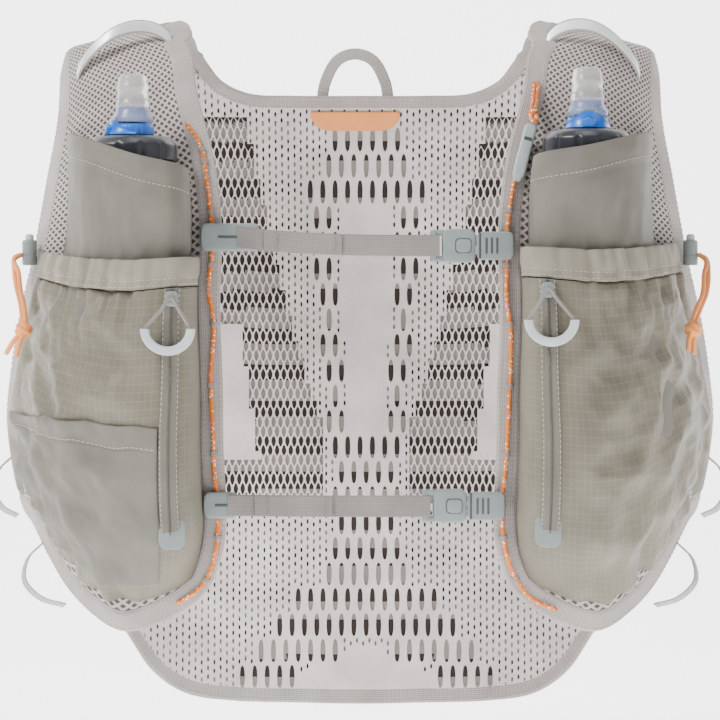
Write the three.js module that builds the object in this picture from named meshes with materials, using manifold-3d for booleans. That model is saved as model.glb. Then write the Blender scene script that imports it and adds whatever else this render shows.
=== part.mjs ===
// A running hydration vest in the form it has when worn: two front panels with flask and cargo pockets,
// a ventilated back, shoulder yokes, two sternum straps and the small hardware that works them.
// Millimetres, +Z up, the wearer looks along -Y, and the origin lies between the two shoulder tops.
import * as THREE from "three";
import { mergeVertices } from "three/addons/utils/BufferGeometryUtils.js";
import Module from "manifold-3d";

const wasm = await Module();
wasm.setup();

// Body form
const BACK_LENGTH = 427;
const CHEST_HALF_WIDTH = 213;
const CHEST_HALF_DEPTH = 115;
const ROUNDNESS = 2.35;

// Cloth, tape and clearances
const GAP = 0.3;
const SEAM_GAP = 0.7;
const ARMHOLE_GAP = 1.2;
const RIDGE_GAP = 1.4;
const FRONT_WALL = 1.6;
const BACK_WALL = 2.4;
const SIDE_WALL = 1.6;
const TAPE_WALL = 2.2;
const BOTTLE_WALL = 1.2;
const CARGO_WALL = 1.4;
const HEM_WALL = 2.2;
const STRETCH_WALL = 1.2;
const RIBBON_WALL = 1.2;
const PLACKET_WIDTH = 11;
const NECK_TAPE = 8;
const ARMHOLE_TAPE = 9;
const BACK_HEM_TAPE = 8.5;

// Pockets
const CARGO_DEPTH = 55;
const BOTTLE_DEPTH = 61;
const GATHER_DEPTH = 1.1;
const GATHERS = 9;
const ZIP_LIFT = 0.7;
const ZIP_WALL = 1.2;

// Flasks
const FLASK_OUT = 131.5;
const FLASK_WIDTH = 58;
const FLASK_THICK = 32;
const FLASK_HEIGHT = 178;
const FLASK_REACH = 117.5;
const CAP_RADIUS = 26;
const CAP_HEIGHT = 15;
const STEM_RADIUS = 6;
const DIAL_RADIUS = 12.4;
const DIAL_HEIGHT = 7;
const VALVE_RADIUS = 8.8;
const VALVE_HEIGHT = 28;

// Straps and hardware
const WEBBING_WIDTH = 12.5;
const WEBBING_WALL = 1.4;
const LACE_DIAMETER = 2.5;
const ELASTIC_DIAMETER = 3;
const LOCK_RADIUS = 4.4;
const LOCK_HEIGHT = 15;
const BUTTON_RADIUS = 2.6;
const BUTTON_TRAVEL = 3;

const LEFT = -1;
const RIGHT = 1;
const SIDES = [
  { name: "left", side: LEFT },
  { name: "right", side: RIGHT },
];

// Torso sections down the body: drop as a share of BACK_LENGTH, half width and half depth as shares of
// CHEST_HALF_WIDTH and CHEST_HALF_DEPTH.
const TORSO = [
  { drop: 0, wide: 0.498, deep: 0.052 },
  { drop: 0.019, wide: 0.66, deep: 0.21 },
  { drop: 0.049, wide: 0.834, deep: 0.391 },
  { drop: 0.14, wide: 0.866, deep: 0.696 },
  { drop: 0.234, wide: 0.911, deep: 0.852 },
  { drop: 0.328, wide: 0.948, deep: 0.922 },
  { drop: 0.457, wide: 0.991, deep: 0.974 },
  { drop: 0.562, wide: 1, deep: 1 },
  { drop: 0.679, wide: 0.962, deep: 1.009 },
  { drop: 0.796, wide: 0.892, deep: 0.991 },
  { drop: 0.89, wide: 0.808, deep: 0.974 },
  { drop: 1.01, wide: 0.7, deep: 0.94 },
];

// Seam of a front panel: from the shoulder ridge down the inner edge, round the bottom and up the armhole.
// angle is in degrees round the body from the front centre, drop a share of BACK_LENGTH.
const FRONT_INNER = [
  { angle: 90, drop: 0.0047 },
  { angle: 51.4, drop: 0.0187 },
  { angle: 40.2, drop: 0.035 },
  { angle: 34.9, drop: 0.063 },
  { angle: 32.2, drop: 0.119 },
  { angle: 28.8, drop: 0.173 },
  { angle: 26.8, drop: 0.204 },
  { angle: 23.8, drop: 0.286 },
  { angle: 22.5, drop: 0.403 },
  { angle: 21.3, drop: 0.539 },
  { angle: 21.6, drop: 0.646 },
  { angle: 22, drop: 0.703 },
  { angle: 23.8, drop: 0.749 },
  { angle: 27.4, drop: 0.787 },
];
const FRONT_BOTTOM = [
  { angle: 35.9, drop: 0.817 },
  { angle: 46.7, drop: 0.831 },
  { angle: 54.6, drop: 0.808 },
  { angle: 60.1, drop: 0.78 },
  { angle: 64.5, drop: 0.742 },
  { angle: 70.5, drop: 0.693 },
];
const FRONT_OUTER = [
  { angle: 82, drop: 0.66 },
  { angle: 81, drop: 0.576 },
  { angle: 76.5, drop: 0.527 },
  { angle: 71, drop: 0.445 },
  { angle: 68, drop: 0.328 },
  { angle: 68.5, drop: 0.234 },
  { angle: 72, drop: 0.14 },
  { angle: 79, drop: 0.075 },
  { angle: 90, drop: 0.041 },
];

// Seam of the back panel: from the shoulder ridge down the armhole and round half of the bottom hem.
const BACK_OUTER = [
  { angle: 90, drop: 0.041 },
  { angle: 106, drop: 0.105 },
  { angle: 119, drop: 0.187 },
  { angle: 129.5, drop: 0.304 },
  { angle: 130.5, drop: 0.422 },
  { angle: 125, drop: 0.527 },
  { angle: 121, drop: 0.576 },
  { angle: 121, drop: 0.68 },
  { angle: 123.5, drop: 0.785 },
  { angle: 127, drop: 0.85 },
];
const BACK_BOTTOM = [
  { angle: 129, drop: 0.885 },
  { angle: 132.5, drop: 0.93 },
  { angle: 140, drop: 0.96 },
  { angle: 152.4, drop: 0.973 },
  { angle: 169, drop: 0.978 },
  { angle: 180, drop: 0.98 },
];
const NECKLINE = [
  { angle: 90, drop: 0.0047 },
  { angle: 129.7, drop: 0.0187 },
  { angle: 145.5, drop: 0.043 },
  { angle: 153.7, drop: 0.09 },
  { angle: 161, drop: 0.109 },
  { angle: 170, drop: 0.1115 },
  { angle: 180, drop: 0.1115 },
];
const ARMHOLE_FLOOR = [
  { angle: 81, drop: 0.576 },
  { angle: 90, drop: 0.596 },
  { angle: 101, drop: 0.603 },
  { angle: 112, drop: 0.596 },
  { angle: 121, drop: 0.576 },
];

// Cross-sections of the two pocket walls, from the inner seam (0) to the outer seam (1): forward reach and
// outward lean as shares of the pocket's depth.
const CARGO_SECTION = [
  { across: 0, forward: 0, lean: 0 },
  { across: 0.025, forward: 0.45, lean: -0.05 },
  { across: 0.055, forward: 0.75, lean: -0.075 },
  { across: 0.09, forward: 0.89, lean: -0.08 },
  { across: 0.15, forward: 0.96, lean: -0.07 },
  { across: 0.24, forward: 1, lean: -0.03 },
  { across: 0.36, forward: 0.95, lean: 0.02 },
  { across: 0.5, forward: 0.9, lean: 0.06 },
  { across: 0.64, forward: 0.77, lean: 0.08 },
  { across: 0.77, forward: 0.55, lean: 0.08 },
  { across: 0.88, forward: 0.2, lean: 0.06 },
  { across: 0.95, forward: 0.08, lean: 0.03 },
  { across: 1, forward: 0, lean: 0 },
];
const BOTTLE_SECTION = [
  { across: 0, forward: 0, lean: 0 },
  { across: 0.02, forward: 0.4, lean: -0.05 },
  { across: 0.06, forward: 0.76, lean: -0.07 },
  { across: 0.14, forward: 0.93, lean: -0.05 },
  { across: 0.27, forward: 0.99, lean: 0 },
  { across: 0.42, forward: 1, lean: 0 },
  { across: 0.56, forward: 1, lean: 0 },
  { across: 0.68, forward: 1, lean: 0 },
  { across: 0.8, forward: 0.88, lean: 0.02 },
  { across: 0.91, forward: 0.54, lean: 0.03 },
  { across: 1, forward: 0, lean: 0 },
];
// Depth of each pocket from its mouth (0) to its bottom seam (1), as a share of its full depth.
const CARGO_FULLNESS = [
  { down: 0, deep: 1 },
  { down: 0.2, deep: 0.985 },
  { down: 0.4, deep: 0.96 },
  { down: 0.6, deep: 0.9 },
  { down: 0.75, deep: 0.76 },
  { down: 0.87, deep: 0.52 },
  { down: 0.95, deep: 0.26 },
  { down: 1, deep: 0.04 },
];
const BOTTLE_FULLNESS = [
  { down: 0, deep: 1 },
  { down: 0.16, deep: 0.9 },
  { down: 0.31, deep: 0.8 },
  { down: 0.57, deep: 0.76 },
  { down: 0.83, deep: 0.71 },
  { down: 0.94, deep: 0.66 },
  { down: 1, deep: 0.06 },
];
// Flask sections from its foot up: width, thickness and reach in front of the body's centre as shares.
const FLASK = [
  { rise: 0, wide: 0.5, thick: 0.3, reach: 0.985 },
  { rise: 0.03, wide: 0.82, thick: 0.66, reach: 0.99 },
  { rise: 0.1, wide: 0.98, thick: 0.92, reach: 1 },
  { rise: 0.4, wide: 1, thick: 1, reach: 0.997 },
  { rise: 0.66, wide: 0.99, thick: 1, reach: 0.955 },
  { rise: 0.82, wide: 0.93, thick: 1.04, reach: 0.92 },
  { rise: 0.93, wide: 0.85, thick: 1.2, reach: 0.897 },
  { rise: 1, wide: 0.78, thick: 1.36, reach: 0.895 },
];

// Per-side places: where the pockets' mouths and hems run on the front panel, as shares of its length, and
// the drop of each flask's cap as a share of BACK_LENGTH.
const FRONTS = [
  {
    name: "left",
    side: LEFT,
    mouth: { inner: 0.368, outer: 0.25 },
    hemTop: { inner: 0.503, outer: 0.493 },
    hemFoot: { inner: 0.545, outer: 0.543 },
    capTop: 0.182,
    dialTurn: 200,
  },
  {
    name: "right",
    side: RIGHT,
    mouth: { inner: 0.347, outer: 0.25 },
    hemTop: { inner: 0.488, outer: 0.475 },
    hemFoot: { inner: 0.531, outer: 0.532 },
    capTop: 0.173,
    dialTurn: 270,
  },
];

// Finishes
const finish = (color, roughness, metalness = 0) =>
  new THREE.MeshStandardMaterial({ color, roughness, metalness, flatShading: true });
const KNIT = finish(0xe0d9d7, 0.9);
const BINDING = finish(0xc4bebb, 0.85);
const NET = finish(0xa8a19e, 0.9);
const STRETCH = finish(0x9c9688, 0.8);
const RIPSTOP = finish(0xa39c8e, 0.65);
const CLEAR_FILM = finish(0x8c918f, 0.3);
const CAP_PLASTIC = finish(0x4a4b52, 0.4);
const BLUE_PLASTIC = finish(0x1e7fd8, 0.35);
const SILICONE = finish(0xdadad6, 0.4);
const ACETAL = finish(0x8f9796, 0.45);
const PALE_PLASTIC = finish(0xb7bfbf, 0.5);
const TAPE_GREY = finish(0xb3ada9, 0.8);
const LACE = finish(0xe2812c, 0.8);
const ELASTIC = finish(0xf2a668, 0.8);
const REFLECTIVE = finish(0xe2e6e5, 0.4);
const LABEL = finish(0xf0a868, 0.6);

const vest = new THREE.Group();

function add(name, geometry, material) {
  const mesh = new THREE.Mesh(geometry, material);
  mesh.name = name;
  vest.add(mesh);
  return mesh;
}

const lerp = THREE.MathUtils.lerp;

// A smooth curve through a table's rows that never overshoots them.
function track(rows, key, value) {
  const x = rows.map((row) => row[key]);
  const y = rows.map((row) => row[value]);
  const secant = x.slice(1).map((_, i) => (y[i + 1] - y[i]) / (x[i + 1] - x[i]));
  const tangent = x.map((_, i) => {
    if (i === 0) return secant[0];
    if (i === x.length - 1) return secant[i - 1];
    const [before, after] = [secant[i - 1], secant[i]];
    return before * after <= 0 ? 0 : (2 * before * after) / (before + after);
  });
  return (at) => {
    if (at <= x[0]) return y[0];
    if (at >= x.at(-1)) return y.at(-1);
    const i = x.findIndex((edge) => edge > at) - 1;
    const width = x[i + 1] - x[i];
    const t = (at - x[i]) / width;
    return (
      (1 + 2 * t) * (1 - t) ** 2 * y[i] +
      t * (1 - t) ** 2 * width * tangent[i] +
      t * t * (3 - 2 * t) * y[i + 1] +
      t * t * (t - 1) * width * tangent[i + 1]
    );
  };
}

const torsoWidth = track(TORSO, "drop", "wide");
const torsoDepth = track(TORSO, "drop", "deep");
const bend = (v) => Math.sign(v) * Math.abs(v) ** (2 / ROUNDNESS);

// The torso's surface: a rounded section whose half width and depth change down the body.
function skin({ angle, drop }) {
  const turn = THREE.MathUtils.degToRad(angle);
  return new THREE.Vector3(
    CHEST_HALF_WIDTH * torsoWidth(drop) * bend(Math.sin(turn)),
    -CHEST_HALF_DEPTH * torsoDepth(drop) * bend(Math.cos(turn)),
    -drop * BACK_LENGTH,
  );
}

// How the surface runs for each degree round the body and each share of drop.
function slopes({ angle, drop }) {
  const turn = 0.5;
  const sink = 0.002;
  const above = Math.max(drop - sink, 0);
  const round = skin({ angle: angle + turn, drop })
    .sub(skin({ angle: angle - turn, drop }))
    .divideScalar(2 * turn);
  const down = skin({ angle, drop: drop + sink })
    .sub(skin({ angle, drop: above }))
    .divideScalar(drop + sink - above);
  return { round, down };
}

function outward(spot) {
  const { round, down } = slopes(spot);
  return down.cross(round).normalize();
}

function lifted(spot, lift) {
  return skin(spot).addScaledVector(outward(spot), lift);
}

// The spot that lies a distance away along the surface in the direction way.
function stepAlong(spot, way, distance) {
  const { round, down } = slopes(spot);
  const [rr, rd, dd] = [round.dot(round), round.dot(down), down.dot(down)];
  const [wr, wd] = [way.dot(round), way.dot(down)];
  const det = rr * dd - rd * rd;
  return {
    angle: spot.angle + (distance * (wr * dd - wd * rd)) / det,
    drop: spot.drop + (distance * (wd * rr - wr * rd)) / det,
  };
}

// The spot on the front of the body that shows at x and z.
function spotAt(x, z) {
  const drop = -z / BACK_LENGTH;
  const share = Math.min(Math.abs(x) / (CHEST_HALF_WIDTH * torsoWidth(drop)), 1);
  const angle = THREE.MathUtils.radToDeg(Math.asin(share ** (ROUNDNESS / 2)));
  return { angle: Math.sign(x) * angle, drop };
}

// A smooth line over the body through a table's spots, walked by its true length.
class Seam {
  constructor(rows) {
    const millimetresPerDegree = 2;
    const curve = new THREE.CatmullRomCurve3(
      rows.map((row) => new THREE.Vector3(row.angle * millimetresPerDegree, row.drop * BACK_LENGTH, 0)),
      false,
      "centripetal",
    );
    const steps = 40 * rows.length;
    this.spots = curve.getPoints(steps).map((p) => ({
      angle: p.x / millimetresPerDegree,
      drop: p.y / BACK_LENGTH,
    }));
    this.lengths = [0];
    for (let i = 1; i < this.spots.length; i++) {
      const run = skin(this.spots[i]).distanceTo(skin(this.spots[i - 1]));
      this.lengths.push(this.lengths[i - 1] + run);
    }
    this.total = this.lengths.at(-1);
    this.marks = rows.map((_, i) => this.lengths[Math.round((i * steps) / (rows.length - 1))] / this.total);
  }

  at(share) {
    const goal = THREE.MathUtils.clamp(share, 0, 1) * this.total;
    const next = Math.max(
      1,
      this.lengths.findIndex((length) => length >= goal),
    );
    const t = (goal - this.lengths[next - 1]) / (this.lengths[next] - this.lengths[next - 1] || 1);
    const [a, b] = [this.spots[next - 1], this.spots[next]];
    return { angle: lerp(a.angle, b.angle, t), drop: lerp(a.drop, b.drop, t) };
  }

  walk(from, to, count) {
    return Array.from({ length: count + 1 }, (_, i) => this.at(lerp(from, to, i / count)));
  }
}

const mirrored = (rows) => rows.map((row) => ({ ...row, angle: 360 - row.angle }));

// A patch between four seam lines: left and right run down, top and bottom run across. The bows of the top
// and bottom lines fade away from their own ends.
function patch({ left, right, top, bottom }) {
  const bow = (line, pick, u) => line(u)[pick] - lerp(line(0)[pick], line(1)[pick], u);
  const mix = (pick, u, v) =>
    lerp(left(v)[pick], right(v)[pick], u) +
    bow(top, pick, u) * (1 - v) ** 3 +
    bow(bottom, pick, u) * v ** 3;
  return (u, v) => ({ angle: mix("angle", u, v), drop: mix("drop", u, v) });
}

function solid(points, faces) {
  const geometry = new THREE.BufferGeometry();
  const flat = new Float32Array(points.flatMap((p) => [p.x, p.y, p.z]));
  geometry.setAttribute("position", new THREE.BufferAttribute(flat, 3));
  geometry.setIndex(faces.flat());
  const [a, b, c] = [new THREE.Vector3(), new THREE.Vector3(), new THREE.Vector3()];
  const volume = faces.reduce(
    (sum, [i, j, k]) => sum + a.copy(points[i]).dot(b.copy(points[j]).cross(c.copy(points[k]))),
    0,
  );
  if (volume < 0) geometry.setIndex(faces.map(([i, j, k]) => [i, k, j]).flat());
  geometry.computeVertexNormals();
  return geometry;
}

// The normals of a grid of points, from the lines through each point's neighbours.
function gridNormals(grid, ring) {
  const rows = grid.length;
  return grid.map((line, j) =>
    line.map((_, i) => {
      const above = ring ? grid[(j + rows - 1) % rows] : grid[Math.max(j - 1, 0)];
      const below = ring ? grid[(j + 1) % rows] : grid[Math.min(j + 1, rows - 1)];
      const across = line[Math.min(i + 1, line.length - 1)].clone().sub(line[Math.max(i - 1, 0)]);
      const along = below[i].clone().sub(above[i]);
      return along.cross(across).normalize();
    }),
  );
}

// A closed wall of even thickness round a grid of points: grid[row][column], and the rows of a ring meet.
function wall(grid, thickness, ring = false) {
  const normals = gridNormals(grid, ring);
  const [rows, columns] = [grid.length, grid[0].length];
  const points = [1, -1].flatMap((face) =>
    grid.flatMap((line, j) =>
      line.map((p, i) => p.clone().addScaledVector(normals[j][i], (face * thickness) / 2)),
    ),
  );
  const at = (j, i, layer) => layer * rows * columns + (j % rows) * columns + i;
  const faces = [];
  const quad = (a, b, c, d) => faces.push([a, b, c], [a, c, d]);
  const lines = ring ? rows : rows - 1;
  for (let j = 0; j < lines; j++)
    for (let i = 0; i < columns - 1; i++) {
      quad(at(j, i, 0), at(j + 1, i, 0), at(j + 1, i + 1, 0), at(j, i + 1, 0));
      quad(at(j, i, 1), at(j, i + 1, 1), at(j + 1, i + 1, 1), at(j + 1, i, 1));
    }
  for (let j = 0; j < lines; j++) {
    quad(at(j, 0, 1), at(j + 1, 0, 1), at(j + 1, 0, 0), at(j, 0, 0));
    quad(at(j, columns - 1, 0), at(j + 1, columns - 1, 0), at(j + 1, columns - 1, 1), at(j, columns - 1, 1));
  }
  if (!ring)
    for (let i = 0; i < columns - 1; i++) {
      quad(at(0, i, 0), at(0, i + 1, 0), at(0, i + 1, 1), at(0, i, 1));
      quad(at(rows - 1, i, 1), at(rows - 1, i + 1, 1), at(rows - 1, i + 1, 0), at(rows - 1, i, 0));
    }
  return solid(points, faces);
}

const shares = (count) => Array.from({ length: count + 1 }, (_, i) => i / count);

// A cloth wall on the body from a patch, at a lift above the body's surface.
function cloth(patchOf, columns, rows, thickness, lift = 0, shift = 0) {
  const grid = rows.map((v) =>
    columns.map((u) => {
      const point = lifted(patchOf(u, v), lift);
      point.y += shift;
      return point;
    }),
  );
  return wall(grid, thickness);
}

// A tape sewn along a line of spots, on the side that turn picks: 1 or -1 times the line's right hand.
function tape(spots, width, turn, ring = false) {
  const gap = ring ? ARMHOLE_GAP : SEAM_GAP;
  const count = spots.length;
  const grid = spots.map((spot, i) => {
    const before = skin(spots[ring ? (i + count - 1) % count : Math.max(i - 1, 0)]);
    const after = skin(spots[ring ? (i + 1) % count : Math.min(i + 1, count - 1)]);
    const run = after.sub(before).normalize();
    const way = run.cross(outward(spot)).normalize().multiplyScalar(turn);
    return [gap, gap + width].map((distance) => lifted(stepAlong(spot, way, distance), 0));
  });
  return wall(grid, TAPE_WALL, ring);
}

// Solids for joining and cutting
function toSolid(geometry) {
  const plain = new THREE.BufferGeometry();
  const source = geometry.index ? geometry.toNonIndexed() : geometry;
  plain.setAttribute("position", source.getAttribute("position").clone());
  const merged = mergeVertices(plain, 1e-4);
  return new wasm.Manifold(
    new wasm.Mesh({
      numProp: 3,
      vertProperties: new Float32Array(merged.getAttribute("position").array),
      triVerts: new Uint32Array(merged.index.array),
    }),
  );
}

function toGeometry(manifold) {
  const mesh = manifold.getMesh();
  const geometry = new THREE.BufferGeometry();
  const flat = new Float32Array(mesh.numVert * 3);
  for (let i = 0; i < mesh.numVert; i++)
    for (let k = 0; k < 3; k++) flat[3 * i + k] = mesh.vertProperties[i * mesh.numProp + k];
  geometry.setAttribute("position", new THREE.BufferAttribute(flat, 3));
  geometry.setIndex(Array.from(mesh.triVerts));
  geometry.computeVertexNormals();
  return geometry;
}

const joined = (...parts) => toGeometry(parts.map(toSolid).reduce((a, b) => a.add(b)));
const cut = (body, ...tools) =>
  toGeometry(tools.map(toSolid).reduce((a, b) => a.subtract(b), toSolid(body)));

// Cloth panels of the body
const backSeam = new Seam([
  ...BACK_OUTER,
  ...BACK_BOTTOM,
  ...mirrored([...BACK_OUTER, ...BACK_BOTTOM.slice(0, -1)]).reverse(),
]);
const neckSeam = new Seam([...NECKLINE, ...mirrored(NECKLINE.slice(0, -1)).reverse()]);
const backCorner = backSeam.marks[BACK_OUTER.length];
const ARMHOLE_END = 6;
const sideTop = backSeam.marks[ARMHOLE_END];
const sideFoot = backSeam.marks[ARMHOLE_END + 1];

// The shoulder ridge between a panel's armhole and neck ends, where front and back meet.
const ridgeDrop = (share) => lerp(FRONT_OUTER.at(-1).drop, FRONT_INNER[0].drop, share);
const RIDGE_SHARE = 0.14;
const backPatch = patch({
  left: (v) => backSeam.at(v * backCorner),
  right: (v) => backSeam.at(1 - v * backCorner),
  bottom: (u) => backSeam.at(lerp(backCorner, 1 - backCorner, u)),
  top: (u) => {
    if (u < RIDGE_SHARE) return { angle: 90, drop: ridgeDrop(u / RIDGE_SHARE) };
    if (u > 1 - RIDGE_SHARE) return { angle: 270, drop: ridgeDrop((1 - u) / RIDGE_SHARE) };
    return neckSeam.at((u - RIDGE_SHARE) / (1 - 2 * RIDGE_SHARE));
  },
});

const frontSeam = new Seam([...FRONT_INNER, ...FRONT_BOTTOM, ...FRONT_OUTER]);
const innerCorner = frontSeam.marks[FRONT_INNER.length - 1];
const outerCorner = frontSeam.marks[FRONT_INNER.length + FRONT_BOTTOM.length];
const armholeFoot = frontSeam.marks[FRONT_INNER.length + FRONT_BOTTOM.length + 1];
const frontPatch = patch({
  left: (v) => frontSeam.at(v * innerCorner),
  right: (v) => frontSeam.at(lerp(1, outerCorner, v)),
  bottom: (u) => frontSeam.at(lerp(innerCorner, outerCorner, u)),
  top: (u) => ({ angle: 90, drop: ridgeDrop(1 - u) }),
});

const onSide = (side, spot) => ({ angle: side * spot.angle, drop: spot.drop });

// Rows crowd together near the ridge, where the cloth turns over the shoulder, and near the bottom.
const armholeRow = (1 - armholeFoot) / (1 - outerCorner);
const frontRows = [0, 0.02, 0.05, 0.09, 0.15, 0.22, 0.3, 0.39, 0.48, 0.58, 0.68, 0.78, 0.88, 0.95, 1]
  .concat(armholeRow)
  .sort((a, b) => a - b);
const frontColumns = [0, 0.12, 0.28, 0.45, 0.62, 0.78, 0.9, 1];

// The big openings of the back's knit stand in staggered rows. Each zone has its drops as shares of
// BACK_LENGTH and its reach to both sides of the centre as shares of CHEST_HALF_WIDTH.
const OVAL = { wide: 3.4, tall: 12, pitch: 8, rowPitch: 16.2 };
const OVAL_ZONES = [
  { from: 0.155, to: 0.22, inner: 0, outer: 0.12 },
  { from: 0.22, to: 0.42, inner: 0.08, outer: 0.12 },
  { from: 0.42, to: 0.6, inner: 0.055, outer: 0.09 },
  { from: 0.6, to: 0.77, inner: 0, outer: 0.045 },
];

function oval(x, z) {
  const shape = new THREE.Shape();
  const [w, h] = [OVAL.wide / 2, OVAL.tall / 2];
  shape.moveTo(0, h);
  shape.lineTo(-w, h / 2);
  shape.lineTo(-w, -h / 2);
  shape.lineTo(0, -h);
  shape.lineTo(w, -h / 2);
  shape.lineTo(w, h / 2);
  shape.closePath();
  const depth = 1.5 * CHEST_HALF_DEPTH;
  const prism = new THREE.ExtrudeGeometry(shape, { depth, bevelEnabled: false });
  prism.rotateX(Math.PI / 2);
  prism.translate(x, depth, z);
  return prism;
}

function ovals() {
  const made = [];
  const rows = Math.floor(BACK_LENGTH / OVAL.rowPitch);
  for (let row = 0; row < rows; row++) {
    const z = -(row + 0.5) * OVAL.rowPitch;
    const zone = OVAL_ZONES.find(({ from, to }) => -z >= from * BACK_LENGTH && -z < to * BACK_LENGTH);
    if (!zone) continue;
    const stagger = (row % 2) / 2;
    const reach = Math.ceil((zone.outer * CHEST_HALF_WIDTH) / OVAL.pitch) + 1;
    for (let column = -reach; column <= reach; column++) {
      const x = (column + stagger) * OVAL.pitch;
      const share = Math.abs(x) / CHEST_HALF_WIDTH;
      if (share >= zone.inner && share <= zone.outer) made.push(oval(x, z));
    }
  }
  return made;
}

const ridge = [0, 0.5].map((share) => share * RIDGE_SHARE);
const backColumns = [
  ...ridge,
  ...neckSeam.marks.map((mark) => lerp(RIDGE_SHARE, 1 - RIDGE_SHARE, mark)),
  ...ridge.map((share) => 1 - share).reverse(),
];
const backMarks = backSeam.marks.slice(0, BACK_OUTER.length + 1).map((mark) => mark / backCorner);
const backRows = [0, 0.35, 0.65].map((share) => share * backMarks[1]).concat(backMarks.slice(1));
const backCloth = cloth(backPatch, backColumns, backRows, BACK_WALL, 0, RIDGE_GAP / 2);
add("back_panel", cut(backCloth, ...ovals()), KNIT);


// Tapes bind the edges: each runs along the very corners of the cloth that it is sewn to.
const neckSpots = neckSeam.marks.map((mark) => neckSeam.at(mark));
add("neck_binding", tape(neckSpots, NECK_TAPE, -1), BINDING);
const hemRows = backRows.filter((v) => v * backCorner >= sideFoot - 1e-6);
const hemSpots = [
  ...hemRows.map((v) => backPatch(0, v)),
  ...backColumns.slice(1, -1).map((u) => backPatch(u, 1)),
  ...hemRows.map((v) => backPatch(1, v)).reverse(),
];
add("back_hem_binding", tape(hemSpots, BACK_HEM_TAPE, 1), BINDING);

const sideSeam = new Seam(ARMHOLE_FLOOR);
const sideColumns = sideSeam.marks;
const armholeRing = [
  ...frontRows.filter((v) => v <= armholeRow).map((v) => frontPatch(1, v)),
  ...sideColumns.slice(1, -1).map((mark) => sideSeam.at(mark)),
  ...backRows
    .filter((v) => v > 0 && v * backCorner <= sideTop + 1e-6)
    .map((v) => backPatch(0, v))
    .reverse(),
];
const placketSpots = [
  ...frontRows.map((v) => frontPatch(0, v)),
  ...frontColumns.slice(1).map((u) => frontPatch(u, 1)),
];
const sidePatch = patch({
  left: (v) => frontSeam.at(lerp(armholeFoot, outerCorner, v)),
  right: (v) => backSeam.at(lerp(sideTop, sideFoot, v)),
  top: (u) => sideSeam.at(u),
  bottom: (u) => ({
    angle: lerp(frontSeam.at(outerCorner).angle, backSeam.at(sideFoot).angle, u),
    drop: lerp(frontSeam.at(outerCorner).drop, backSeam.at(sideFoot).drop, u),
  }),
});

// A pocket's wall stands off the front panel: forward reach and lean come from its section table.
function pocketWall(side, { section, fullness, depth, lift, spot, gather = 0 }) {
  const forward = track(section, "across", "forward");
  const lean = track(section, "across", "lean");
  const deep = track(fullness, "down", "deep");
  return (across, down) => {
    const point = lifted(spot(across, down), lift);
    const reach = depth * deep(down);
    const ripple = gather * Math.sin(Math.PI * across) * Math.cos(2 * Math.PI * GATHERS * across);
    point.y -= reach * forward(across) + ripple;
    point.x += side * reach * lean(across);
    return point;
  };
}

const gridOf = (surface, columns, rows) => rows.map((v) => columns.map((u) => surface(u, v)));

// Moves a grid of points off its own surface.
function raised(grid, side, lift) {
  const normals = gridNormals(grid, false);
  return grid.map((line, j) => line.map((p, i) => p.clone().addScaledVector(normals[j][i], side * lift)));
}

const blend = (a, b, t) => a.clone().lerp(b, t);

const CARGO_COLUMNS = CARGO_SECTION.map((row) => row.across);
const CARGO_ROWS = [0, 0.1, 0.2, 0.3, 0.4, 0.5, 0.6, 0.7, 0.79, 0.87, 0.94, 1];
// Where the left pocket's outer stretch pocket starts, at columns of the cargo pocket
const STRETCH_TOP = [
  { across: 0.15, down: 0.455 },
  { across: 0.24, down: 0.438 },
  { across: 0.36, down: 0.437 },
  { across: 0.5, down: 0.457 },
  { across: 0.64, down: 0.495 },
  { across: 0.77, down: 0.55 },
  { across: 0.88, down: 0.6 },
];
const STRETCH_HEM = 0.075;
const STRETCH_SEAM = 0.003;
const BOTTLE_COLUMNS = BOTTLE_SECTION.map((row) => row.across);
const BOTTLE_ROWS = [0, 0.08, 0.16, 0.25, 0.36, 0.5, 0.66, 0.83, 0.94, 1];
const POCKET_INNER = 0.012;
const POCKET_OUTER = 0.94;
const BOTTLE_INNER = { mouth: 0.04, foot: 0.05 };
const BOTTLE_OUTER = { mouth: 0.84, foot: 0.74 };
const BOTTLE_FOOT = 0.85;
const POCKET_FOOT = 0.985;

function ribbon(centres, ways, width, thickness, ring = false) {
  const grid = centres.map((centre, i) =>
    [-0.5, 0.5].map((share) => centre.clone().addScaledVector(ways[i], share * width)),
  );
  return wall(grid, thickness, ring);
}

// A tube along a line of points with round sections.
function cord(points, diameter, steps, sides = 8) {
  const section = new THREE.Shape();
  for (let i = 0; i < sides; i++) {
    const turn = (2 * Math.PI * i) / sides;
    const [x, y] = [(Math.cos(turn) * diameter) / 2, (Math.sin(turn) * diameter) / 2];
    if (i) section.lineTo(x, y);
    else section.moveTo(x, y);
  }
  section.closePath();
  const extrudePath = new THREE.CatmullRomCurve3(points, false, "centripetal");
  return new THREE.ExtrudeGeometry(section, { steps, extrudePath, bevelEnabled: false });
}

// A turned piece: its profile's [radius, height] pairs start and end on the axis or close.
function turned(profile, segments = 12) {
  const lathe = new THREE.LatheGeometry(
    profile.map(([r, h]) => new THREE.Vector2(r, h)),
    segments,
  );
  lathe.rotateX(Math.PI / 2);
  return lathe;
}

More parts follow.
